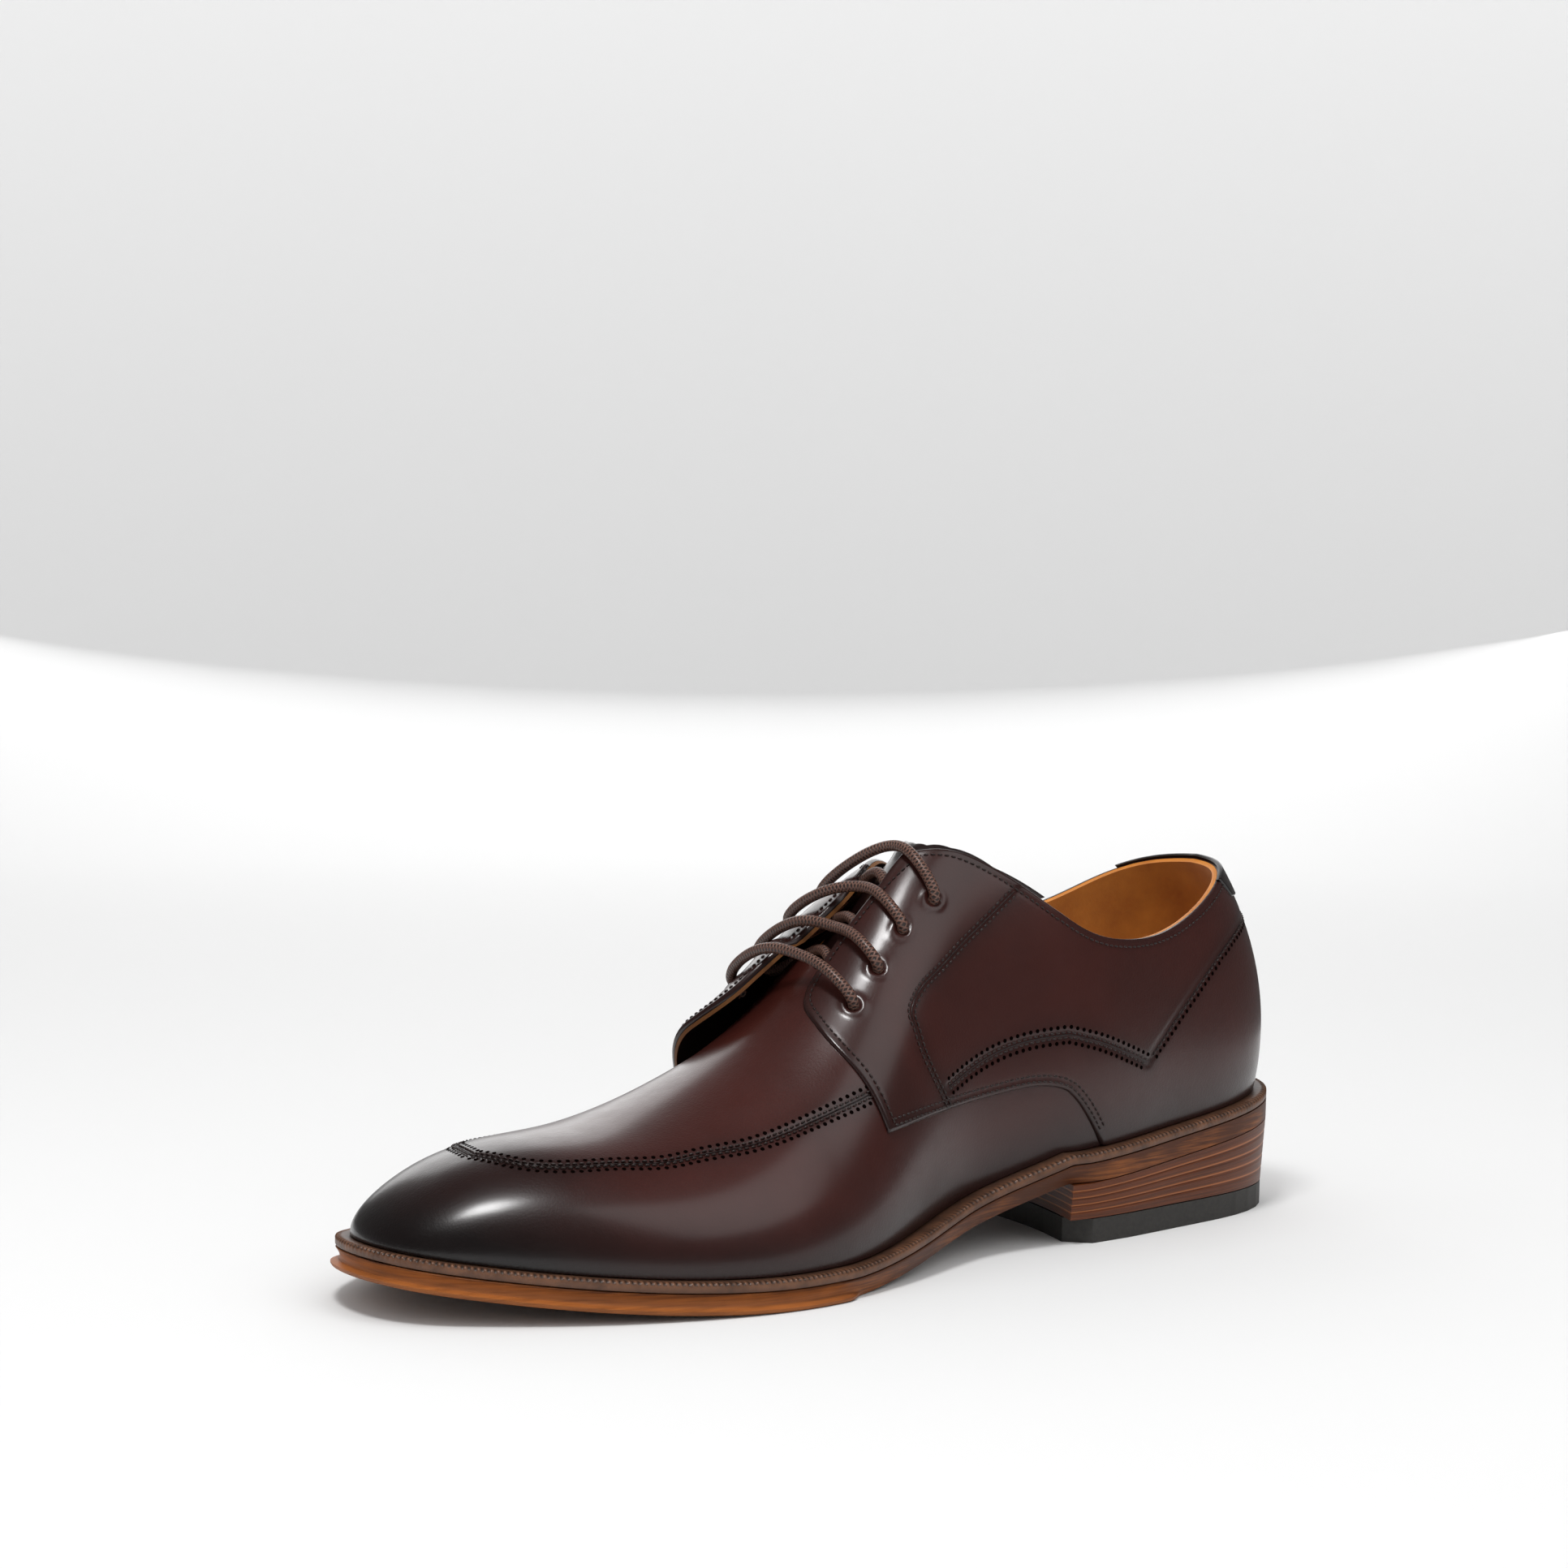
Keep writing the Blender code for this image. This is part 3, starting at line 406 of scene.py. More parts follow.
def edge_slab(turns, levels, height_at):
    """A solid lofted through rings, from the underside up, closed by strips across its two ends.

    levels are (distance array, share) pairs and height_at gives the height from x and a share.
    """
    points = []
    count = 2 * len(turns) - 2
    for distance, share in levels:
        loop = ring_loop(turns, distance)
        points.append(np.column_stack([loop, height_at(loop[:, 0], share)]))
    faces = [grid_faces(len(levels), count, closed=True)]
    total = len(levels) * count
    for ring_number, (distance, share) in ((0, levels[0]), (len(levels) - 1, levels[-1])):
        inner, outer = plan_ring(turns, distance)
        weight = np.linspace(0, 1, SOLE_STRIPS + 1)[None, 1:-1, None]
        middle = inner[1:-1, None] * (1 - weight) + outer[1:-1, None] * weight
        first = total
        points.append(np.column_stack([
            middle.reshape(-1, 2), height_at(middle.reshape(-1, 2)[:, 0], share)]))
        rows = len(turns) - 2
        own = first + np.arange(rows * (SOLE_STRIPS - 1)).reshape(rows, SOLE_STRIPS - 1)
        total += own.size
        base = ring_number * count
        inner_index = base + np.arange(1, len(turns) - 1)
        outer_index = base + count - np.arange(1, len(turns) - 1)
        sheet = np.concatenate([inner_index[:, None], own, outer_index[:, None]], 1)
        corners = [sheet[:-1, :-1], sheet[1:, :-1], sheet[1:, 1:], sheet[:-1, 1:]]
        faces.append(np.stack(corners, -1).reshape(-1, 4))
        back = [np.array([base, sheet[0, k], sheet[0, k + 1]]) for k in range(SOLE_STRIPS)]
        toe = [np.array([base + len(turns) - 1, sheet[-1, k], sheet[-1, k + 1]]) for k in range(SOLE_STRIPS)]
        faces.append(back + toe)
    flat = [face for group in faces for face in group]
    return np.concatenate(points) - SHOE_MIDDLE, flat


sole_leather, tree, shader = new_material("waxed_sole_leather", Roughness=0.5, IOR=1.45)
# Smooth bark-tanned leather shows faint lengthwise fibre on its cut edge and a soft wax gloss.
shader.inputs["Specular IOR Level"].default_value = 0.25
shader.inputs["Coat Weight"].default_value = 0.08
shader.inputs["Coat Roughness"].default_value = 0.35
spot = add_node(tree, "ShaderNodeTexCoord").outputs["Object"]
fibre_place = add_node(tree, "ShaderNodeMapping", {"Vector": spot, "Scale": (60.0, 60.0, 1600.0)})
fibre = add_node(tree, "ShaderNodeTexNoise", {
    "Vector": fibre_place.outputs["Vector"], "Scale": 1.0, "Detail": 4.0, "Roughness": 0.6})
cloud = add_node(tree, "ShaderNodeTexNoise", {"Vector": spot, "Scale": 45.0, "Detail": 3.0})
blend = add_node(tree, "ShaderNodeMath", {
    0: fibre.outputs["Fac"], 1: cloud.outputs["Fac"]}, operation="MULTIPLY")
stain = add_node(tree, "ShaderNodeAttribute", attribute_name="stain")
tone = add_node(tree, "ShaderNodeMath", {
    0: blend.outputs[0], 1: stain.outputs["Fac"]}, operation="SUBTRACT")
ramp = add_node(tree, "ShaderNodeValToRGB", {"Fac": tone.outputs[0]})
ramp.color_ramp.elements[0].color = rgba("#4a2714")
ramp.color_ramp.elements[1].position = 0.26
ramp.color_ramp.elements[1].color = rgba("#945628")
tree.links.new(ramp.outputs["Color"], shader.inputs["Base Color"])
bump = add_node(tree, "ShaderNodeBump", {
    "Height": fibre.outputs["Fac"], "Strength": 0.25, "Distance": 0.0003})
tree.links.new(bump.outputs["Normal"], shader.inputs["Normal"])

turns = np.linspace(0, math.pi, SOLE_COLUMNS + 1)
x = FORM_LENGTH * place_of(turns)
fore = smooth((x - WAIST_END + 0.004) / 0.008)
waist = (1 - fore) * smooth((x - HEEL_LENGTH + 0.010) / 0.020)
levels = [
    (margin(turns) + fore * (lip * SOLE_LIP - hollow * SOLE_HOLLOW) - waist * WAIST_BEVEL * bevel, share)
    for share, lip, hollow, bevel in SOLE_SIDE]
points, faces = edge_slab(turns, levels, lambda x, share: underside(x) + share * SOLE_THICKNESS)
side_share = np.clip((points[:, 2] - underside(points[:, 0] + SHOE_MIDDLE[0])) / SOLE_THICKNESS, 0, 1)
world_x = points[:, 0] + SHOE_MIDDLE[0]
waist_stain = 0.22 * (1 - smooth((world_x - WAIST_END + 0.02) / 0.04))
stain_value = 0.16 * smooth((side_share - 0.80) / 0.12) + waist_stain
outsole = new_piece("outsole_leather", points, faces, sole_leather, 50, {"stain": stain_value})
worn_by(outsole, "sole_leather", "outsole")


# Welt: a narrow leather strip sewn round the upper's edge, stained dark, with its top edge
# notched by a hot wheel between the stitches.
NOTCH_PITCH = 0.0016
NOTCH_DEPTH = 0.00036
WELT_COLUMNS = 900
welt_leather, tree, shader = new_material("wheeled_welt_leather", Roughness=0.45, IOR=1.48)
# Dark edge ink over leather: brown on the crests of the notches, nearly black between them.
spot = add_node(tree, "ShaderNodeTexCoord").outputs["Object"]
cloud = add_node(tree, "ShaderNodeTexNoise", {"Vector": spot, "Scale": 220.0, "Detail": 4.0})
notch = add_node(tree, "ShaderNodeAttribute", attribute_name="notch")
tone = add_node(tree, "ShaderNodeMath", {
    0: notch.outputs["Fac"], 1: cloud.outputs["Fac"], 2: 0.0}, operation="MULTIPLY_ADD")
ramp = add_node(tree, "ShaderNodeValToRGB", {"Fac": tone.outputs[0]})
ramp.color_ramp.elements[0].color = rgba("#1a100c")
ramp.color_ramp.elements[1].color = rgba("#6a4630")
ramp.color_ramp.elements[1].position = 0.62
tree.links.new(ramp.outputs["Color"], shader.inputs["Base Color"])
bump = add_node(tree, "ShaderNodeBump", {
    "Height": cloud.outputs["Fac"], "Strength": 0.3, "Distance": 0.0002})
tree.links.new(bump.outputs["Normal"], shader.inputs["Normal"])

turns = np.linspace(0, math.pi, WELT_COLUMNS + 1)
outer_edge = margin(turns)
inner_outline = plan_ring(turns, outer_edge)[0]
walk = np.concatenate([[0], np.cumsum(np.linalg.norm(np.diff(inner_outline, axis=0), axis=1))])
wave = 0.5 + 0.5 * np.cos(2 * math.pi * walk / NOTCH_PITCH)
low = SOLE_THICKNESS + GAP
high = SOLE_THICKNESS + WELT_THICKNESS
notch_in = NOTCH_DEPTH * (1 - wave)
welt_section = [
    (-0.0018 + 0 * turns, low, 0.6), (outer_edge - 0.0002, low, 0.6), (outer_edge, low + 0.0003, 0.8),
    (outer_edge, high - 0.0010, 1.0), (outer_edge - notch_in, high - 0.0006, wave),
    (outer_edge - 0.0002 - notch_in, high - 0.00018 - notch_in, wave),
    (outer_edge - 0.0007, high - notch_in, wave), (outer_edge - 0.0013, high - 0.6 * notch_in, wave),
    (outer_edge - 0.0017, high, 0.5), (0.0 * turns, high, 0.2), (-0.0018 + 0 * turns, high, 0.2),
]
rings = []
shade = []
for distance, height, tint in welt_section:
    loop = ring_loop(turns, distance)
    height = np.broadcast_to(height, turns.shape)
    tint = np.broadcast_to(tint, turns.shape)
    both = np.concatenate([height, height[-2:0:-1]])
    rings.append(np.column_stack([loop, underside(loop[:, 0]) + both]))
    shade.append(np.concatenate([tint, tint[-2:0:-1]]))
count = len(rings[0])
faces = np.concatenate([
    grid_faces(len(rings), count, closed=True),
    [[(len(rings) - 1) * count + i, (len(rings) - 1) * count + (i + 1) % count, (i + 1) % count, i]
     for i in range(count)]])
welt = new_piece("wheeled_welt", np.concatenate(rings) - SHOE_MIDDLE, faces, welt_leather, 50, {
    "notch": np.concatenate(shade)})
worn_by(welt, "welt_leather", "welt")


# Heel stack: five lifts of leather, glued and pinned, sanded flush, stained and burnished. The
# joints between the lifts show as fine dark lines with lighter brown beside them.
HEEL_TAPER = 0.0010
BREAST_HOLLOW = 0.0052
TOP_LIFT_THICKNESS = 0.0068
LIFT_COUNT = 5
JOINT_DEPTH = 0.00018
HEEL_STEPS = 70
HEEL_STRIPS = 24
HEEL_LEVELS = 41


def heel_plan(turns, distance):
    """Plan grid of the heel, rounded at the back and hollowed at the breast."""
    rings = plan_ring(turns, margin(turns) + distance)
    steps = np.arange(HEEL_STEPS + 1) / HEEL_STEPS
    strips = np.linspace(0, 1, HEEL_STRIPS + 1)
    sides = []
    for ring, corner in zip(rings, (HEEL_LENGTH + BREAST_SKEW, HEEL_LENGTH - BREAST_SKEW)):
        share = 1 - np.cos(steps * math.pi / 2)
        reach = ring[0, 0] + (corner - ring[0, 0]) * share
        sides.append(np.stack([reach, np.interp(reach, ring[:, 0], ring[:, 1])], -1))
    plan = sides[0][:, None] * (1 - strips[:, None]) + sides[1][:, None] * strips[:, None]
    plan[..., 0] -= BREAST_HOLLOW * 4 * strips * (1 - strips) * steps[:, None] ** 3
    return plan


def plan_boundary(plan):
    rows, columns = plan.shape[:2]
    index = np.arange(rows * columns).reshape(rows, columns)
    return np.concatenate([index[:, 0], index[-1, 1:], index[-2::-1, -1], index[0, -2:0:-1]])


def plan_stack(plans, heights):
    """A solid through plan grids at given heights: walls round the edge, and grids at both ends."""
    edge = plan_boundary(plans[0])
    rows, columns = plans[0].shape[:2]
    grids = [np.column_stack([plan.reshape(-1, 2), np.broadcast_to(height, plan.shape[:2]).ravel()])
             for plan, height in zip(plans, heights)]
    walls = [grid[edge] for grid in grids]
    ends = [grids[0], grids[-1]]
    first = len(walls) * len(edge)
    faces = np.concatenate([
        grid_faces(len(walls), len(edge), closed=True), grid_faces(rows, columns, first),
        grid_faces(rows, columns, first + rows * columns)])
    return np.concatenate(walls + ends) - SHOE_MIDDLE, faces


stacked_leather, tree, shader = new_material("burnished_stacked_leather", Roughness=0.45, IOR=1.48)
# The cut edges of the lifts look like close wood grain: long thin light and dark streaks.
shader.inputs["Specular IOR Level"].default_value = 0.25
shader.inputs["Coat Weight"].default_value = 0.10
shader.inputs["Coat Roughness"].default_value = 0.3
spot = add_node(tree, "ShaderNodeTexCoord").outputs["Object"]
layer = add_node(tree, "ShaderNodeAttribute", attribute_name="layer")
split = add_node(tree, "ShaderNodeSeparateXYZ", {"Vector": spot})
level_spot = add_node(tree, "ShaderNodeCombineXYZ", {
    "X": split.outputs["X"], "Y": split.outputs["Y"], "Z": layer.outputs["Fac"]})
streak_place = add_node(tree, "ShaderNodeMapping", {
    "Vector": level_spot.outputs["Vector"], "Scale": (45.0, 45.0, 16.0)})
streak = add_node(tree, "ShaderNodeTexNoise", {
    "Vector": streak_place.outputs["Vector"], "Scale": 1.0, "Detail": 6.0, "Roughness": 0.65})
joint = add_node(tree, "ShaderNodeAttribute", attribute_name="joint")
ramp = add_node(tree, "ShaderNodeValToRGB", {"Fac": streak.outputs["Fac"]})
ramp.color_ramp.elements[0].position = 0.32
ramp.color_ramp.elements[0].color = rgba("#3a1c0f")
ramp.color_ramp.elements[1].position = 0.72
ramp.color_ramp.elements[1].color = rgba("#70391a")
mixed = add_node(tree, "ShaderNodeMix", {
    "Factor": joint.outputs["Fac"], 6: ramp.outputs["Color"], 7: rgba("#a5602f")}, data_type="RGBA")
tree.links.new(mixed.outputs[2], shader.inputs["Base Color"])
bump = add_node(tree, "ShaderNodeBump", {
    "Height": streak.outputs["Fac"], "Strength": 0.2, "Distance": 0.0003})
tree.links.new(bump.outputs["Normal"], shader.inputs["Normal"])

turns = np.linspace(0, math.pi, 400)
plans = []
heights = []
joint_value = []
shares = np.linspace(0, 1, HEEL_LEVELS)
for share in shares:
    in_lift = share * LIFT_COUNT % 1.0
    groove = math.exp(-(min(in_lift, 1 - in_lift) / 0.07) ** 2) if 0.02 < share < 0.98 else 0.0
    line = math.exp(-((in_lift - 0.14) / 0.07) ** 2) if 0.1 < share < 0.98 else 0.0
    plan = heel_plan(turns, -HEEL_TAPER * (1 - share) - JOINT_DEPTH * groove)
    top = underside(plan[..., 0]) - GAP
    plans.append(plan)
    heights.append(TOP_LIFT_THICKNESS + GAP + (top - TOP_LIFT_THICKNESS - GAP) * share)
    joint_value.append(line)
points, faces = plan_stack(plans, heights)
edge_count = len(plan_boundary(plans[0]))
ends = len(points) - HEEL_LEVELS * edge_count
layer_points = np.concatenate([np.repeat(shares * LIFT_COUNT, edge_count), np.zeros(ends)])
joint_points = np.concatenate([np.repeat(joint_value, edge_count), np.zeros(ends)])
heel_stack = new_piece("stacked_heel", points, faces, stacked_leather, 50, {
    "joint": joint_points, "layer": layer_points})
worn_by(heel_stack, "stacked_leather", "heel_stack")


# Top lift: moulded black rubber, nailed under the stack, with its inner front corner cut off so
# that it doesn't catch in a trouser hem.
heel_rubber, tree, shader = new_material("moulded_black_rubber", Roughness=0.62, IOR=1.52)
# Filled rubber scatters light softly: dark grey with a fine dull grain.
spot = add_node(tree, "ShaderNodeTexCoord").outputs["Object"]
grain = add_node(tree, "ShaderNodeTexNoise", {"Vector": spot, "Scale": 900.0, "Detail": 5.0})
ramp = add_node(tree, "ShaderNodeValToRGB", {"Fac": grain.outputs["Fac"]})
ramp.color_ramp.elements[0].color = rgba("#191817")
ramp.color_ramp.elements[1].color = rgba("#35322e")
tree.links.new(ramp.outputs["Color"], shader.inputs["Base Color"])
bump = add_node(tree, "ShaderNodeBump", {
    "Height": grain.outputs["Fac"], "Strength": 0.35, "Distance": 0.0002})
tree.links.new(bump.outputs["Normal"], shader.inputs["Normal"])
top_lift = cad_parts["top_lift"]
top_lift.data.materials.clear()
top_lift.data.materials.append(heel_rubber)


# Insole: the board with its thin tan leather sock, which the foot stands on. It is cut to the last's
# underside and glued in before the upper is pulled over it.
lining_leather, tree, shader = new_material("tan_lining_leather", Roughness=0.58, IOR=1.45)
# Undyed lining calf: warm tan, matt, with a soft cloudy grain and slightly darker folds.
shader.inputs["Sheen Weight"].default_value = 0.15
spot = add_node(tree, "ShaderNodeTexCoord").outputs["Object"]
cloud = add_node(tree, "ShaderNodeTexNoise", {
    "Vector": spot, "Scale": 60.0, "Detail": 5.0, "Roughness": 0.6})
pores = add_node(tree, "ShaderNodeTexNoise", {"Vector": spot, "Scale": 1100.0, "Detail": 3.0})
ramp = add_node(tree, "ShaderNodeValToRGB", {"Fac": cloud.outputs["Fac"]})
ramp.color_ramp.elements[0].position = 0.3
ramp.color_ramp.elements[0].color = rgba("#a4601f")
ramp.color_ramp.elements[1].position = 0.7
ramp.color_ramp.elements[1].color = rgba("#c9802f")
tree.links.new(ramp.outputs["Color"], shader.inputs["Base Color"])
bump = add_node(tree, "ShaderNodeBump", {
    "Height": pores.outputs["Fac"], "Strength": 0.3, "Distance": 0.0002})
tree.links.new(bump.outputs["Normal"], shader.inputs["Normal"])
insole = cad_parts["insole"]
insole.data.materials.clear()
insole.data.materials.append(lining_leather)


# Vamp: one piece of polished calf over the toe and instep. A raised seam runs round the apron,
# with a row of pinholes on each side. It is burnished nearly black at the toe and along the sole.
APRON = [
    (0.9044, 1.0), (0.8953, 0.848), (0.8800, 0.733), (0.8586, 0.683), (0.8139, 0.657), (0.7712, 0.617),
    (0.7437, 0.609), (0.7010, 0.573), (0.6593, 0.551), (0.6227, 0.535), (0.5810, 0.495), (0.545, 0.455)]
THROAT = [
    (0.343, 0.520), (0.390, 0.555), (0.451, 0.575), (0.491, 0.600), (0.514, 0.680), (0.530, 0.820),
    (0.540, 0.930), (0.547, 1.000)]
APRON_STEP = 0.00025
APRON_BLEND = 0.03
APRON_GROOVE = 0.00022
APRON_GROOVE_WIDTH = 0.0009
TOE_BURNISH = 0.62
TOE_BURNISH_START = 0.225
TOE_BURNISH_REACH = 0.07
SOLE_BURNISH = 0.34
SOLE_BURNISH_START = -0.002
SOLE_BURNISH_REACH = 0.020
SEAM_BURNISH = 0.16
SEAM_BURNISH_WIDTH = 0.0040
VAMP_COLUMNS = 240
VAMP_ROWS = 82
VAMP_START = 0.262
VAMP_SKIN = 0.0010

calf, tree, shader = new_material("polished_calf", Roughness=0.34, IOR=1.5)
# Aniline calf, polished by hand: deep red brown that goes nearly black where it is burnished,
# under a thin wax coat that gives soft-edged highlights over a fine grain.
shader.inputs["Specular IOR Level"].default_value = 0.18
shader.inputs["Coat Weight"].default_value = 0.75
shader.inputs["Coat Roughness"].default_value = 0.22
spot = add_node(tree, "ShaderNodeTexCoord").outputs["Object"]
burnish = add_node(tree, "ShaderNodeAttribute", attribute_name="burnish")
cloud = add_node(tree, "ShaderNodeTexNoise", {
    "Vector": spot, "Scale": 28.0, "Detail": 5.0, "Roughness": 0.6})
mottle = add_node(tree, "ShaderNodeMath", {0: cloud.outputs["Fac"], 1: 0.35}, operation="MULTIPLY")
tone = add_node(tree, "ShaderNodeMath", {0: burnish.outputs["Fac"], 1: mottle.outputs[0]}, operation="ADD")
ramp = add_node(tree, "ShaderNodeValToRGB", {"Fac": tone.outputs[0]})
ramp.color_ramp.elements[0].position = 0.08
ramp.color_ramp.elements[0].color = rgba("#3a1611")
ramp.color_ramp.elements[1].position = 0.95
ramp.color_ramp.elements[1].color = rgba("#0d0606")
deep = ramp.color_ramp.elements.new(0.45)
deep.color = rgba("#230c09")
tree.links.new(ramp.outputs["Color"], shader.inputs["Base Color"])
grain = add_node(tree, "ShaderNodeTexVoronoi", {"Vector": spot, "Scale": 1500.0}, feature="F1")
pores = add_node(tree, "ShaderNodeTexNoise", {"Vector": spot, "Scale": 2600.0, "Detail": 3.0})
wrinkle = add_node(tree, "ShaderNodeTexNoise", {
    "Vector": spot, "Scale": 130.0, "Detail": 4.0, "Roughness": 0.55})
fine = add_node(tree, "ShaderNodeMath", {
    0: grain.outputs["Distance"], 1: pores.outputs["Fac"]}, operation="ADD")
fine_bump = add_node(tree, "ShaderNodeBump", {
    "Height": fine.outputs[0], "Strength": 0.16, "Distance": 0.0002})
soft_bump = add_node(tree, "ShaderNodeBump", {
    "Height": wrinkle.outputs["Fac"], "Strength": 0.10, "Distance": 0.0008,
    "Normal": fine_bump.outputs["Normal"]})
tree.links.new(soft_bump.outputs["Normal"], shader.inputs["Normal"])
gloss = add_node(tree, "ShaderNodeMapRange", {
    "Value": wrinkle.outputs["Fac"], "From Min": 0.3, "From Max": 0.7, "To Min": 0.36, "To Max": 0.46})
tree.links.new(gloss.outputs["Result"], shader.inputs["Roughness"])

INNER_COLLAR_HEIGHT = 0.0797
OUTER_COLLAR_HEIGHT = 0.0815
INNER_FACING_HEIGHT = 0.1068
OUTER_FACING_HEIGHT = 0.1015
COLLAR_ROOM = 0.018
# place, then the shares of the collar's back height, of its lowest height and of the facing's top
TOP_LINE = np.array([
    (0.000, 1.00, 0.00, 0.00), (0.034, 0.86, 0.14, 0.00), (0.092, 0.55, 0.45, 0.00),
    (0.146, 0.22, 0.78, 0.00), (0.191, 0.03, 0.97, 0.00), (0.241, 0.00, 1.00, 0.00),
    (0.293, 0.00, 0.86, 0.14), (0.343, 0.00, 0.49, 0.51), (0.388, 0.00, 0.16, 0.84),
    (0.425, 0.00, 0.00, 1.00), (0.448, 0.00, 0.02, 0.98),
])


def edge_curve(points, count):
    """Turns and ups at evenly spaced steps along a smooth curve through (place, up) rows."""
    points = np.asarray(points, float)
    turns = turn_of(points[:, 0])
    reach = np.concatenate([[0], np.cumsum(np.hypot(np.diff(turns), np.diff(points[:, 1])))])
    at = np.linspace(0, reach[-1], count)
    return np.stack([spline(reach, turns, at), spline(reach, points[:, 1], at)], -1)


def leather_line(points, side, count=400):
    """A line on the form through (place, up) rows, as world points."""
    curve = edge_curve(points, count)
    return form(curve[:, 0], np.clip(curve[:, 1], 0, 1), side)


def distance_to(points, line):
    """Distance from each point to the nearest of a line's points, and which one that is."""
    flat = points.reshape(-1, 3)
    best = np.empty(len(flat))
    which = np.empty(len(flat), int)
    for start in range(0, len(flat), 4000):
        block = flat[start:start + 4000]
        gap = ((block[:, None] - line[None]) ** 2).sum(-1)
        which[start:start + 4000] = gap.argmin(1)
        best[start:start + 4000] = np.sqrt(gap.min(1))
    return best.reshape(points.shape[:-1]), which.reshape(points.shape[:-1])


def top_line_up(turn, side):
    """Where each section reaches the collar's height, found by reading its heights from below."""
    dip = INNER_COLLAR_HEIGHT if side == INNER else OUTER_COLLAR_HEIGHT
    facing = INNER_FACING_HEIGHT if side == INNER else OUTER_FACING_HEIGHT
    heights = TOP_LINE[:, 1] * COLLAR_BACK_HEIGHT + TOP_LINE[:, 2] * dip + TOP_LINE[:, 3] * facing
    wanted = spline(turn_of(TOP_LINE[:, 0]), heights, turn)
    samples = np.linspace(0, 1, 200)
    turns, ups = np.meshgrid(turn, samples, indexing="ij")
    heights = form(turns, ups, side)[..., 2]
    return np.array([np.interp(height, row, samples) for height, row in zip(wanted, heights)])


apron_lines = [leather_line(APRON, side) for side in (INNER, OUTER)]
apron_line = np.concatenate([apron_lines[0][::-1], apron_lines[1][1:]])


def throat_up(turn):
    rows = np.array(THROAT)
    return np.interp(place_of(turn), rows[:, 0], rows[:, 1])


def apron_up(turn):
    rows = np.array(APRON)[::-1]
    return np.interp(place_of(turn), rows[:, 0], rows[:, 1], left=rows[0, 1], right=1.5)


def burnish_of(points, seams):
    """How dark the polish is: full at the toe, along the sole and in a band beside each seam."""
    x = points[..., 0] + SHOE_MIDDLE[0]
    toe = smooth((x - TOE_BURNISH_START) / TOE_BURNISH_REACH)
    low = 1 - smooth((points[..., 2] - seat_height(x) - SOLE_BURNISH_START) / SOLE_BURNISH_REACH)
    value = TOE_BURNISH * toe + SOLE_BURNISH * low
    for line in seams:
        gap, _ = distance_to(points, line)
        value = value + SEAM_BURNISH * np.exp(-(gap / SEAM_BURNISH_WIDTH) ** 2)
    return value


halves = []
turns = turn_of(VAMP_START) + (math.pi - turn_of(VAMP_START)) * np.linspace(0, 1, VAMP_COLUMNS + 1)
throat_end = turn_of(THROAT[-1][0])
facing_start = turn_of(THROAT[0][0])
turns[np.argmin(abs(turns - throat_end))] = throat_end
for side in (INNER, OUTER):
    below_collar = np.minimum(throat_up(turns), top_line_up(turns, side) - COLLAR_ROOM)
    beside_throat = np.where(turns < throat_end - 1e-9, throat_up(turns), 1.0)
    top = np.where(turns < facing_start, below_collar, beside_throat)
    up = top[:, None] * np.linspace(0, 1, VAMP_ROWS + 1)
    turn = np.repeat(turns[:, None], VAMP_ROWS + 1, axis=1)
    base = form(turn, up, side)
    normal = outward(turn, up, side)
    gap, _ = distance_to(base, apron_line)
    inside_apron = smooth((up - apron_up(turn)) / APRON_BLEND)
    relief = APRON_STEP * inside_apron - APRON_GROOVE * np.exp(-(gap / APRON_GROOVE_WIDTH) ** 2)
    outer = base + normal * relief[..., None]
    inner = base - normal * VAMP_SKIN
    halves.append((outer, inner))
points = []
faces = []
values = []
offset = 0
for outer, inner in halves:
    rows, columns = outer.shape[:2]
    count = rows * columns
    index = np.arange(count).reshape(rows, columns)
    before_end = int(np.argmin(abs(turns - throat_end))) + 1
    rims = [np.stack([line[:-1], line[1:], line[1:] + count, line[:-1] + count], -1)
            for line in (index[:, 0], index[:before_end, -1], index[0])]
    part = np.concatenate([grid_faces(rows, columns), grid_faces(rows, columns, count)[:, ::-1]] + rims)
    faces.append(part + offset)
    points.append(outer.reshape(-1, 3))
    points.append(inner.reshape(-1, 3))
    dark = burnish_of(outer, [apron_line])
    values.append(np.concatenate([dark.ravel(), np.ones(count)]))
    offset += 2 * count
vamp = new_piece("vamp", np.concatenate(points), np.concatenate(faces), calf, 50, {
    "burnish": np.concatenate(values)})
worn_by(vamp, "upper_leather", "upper")


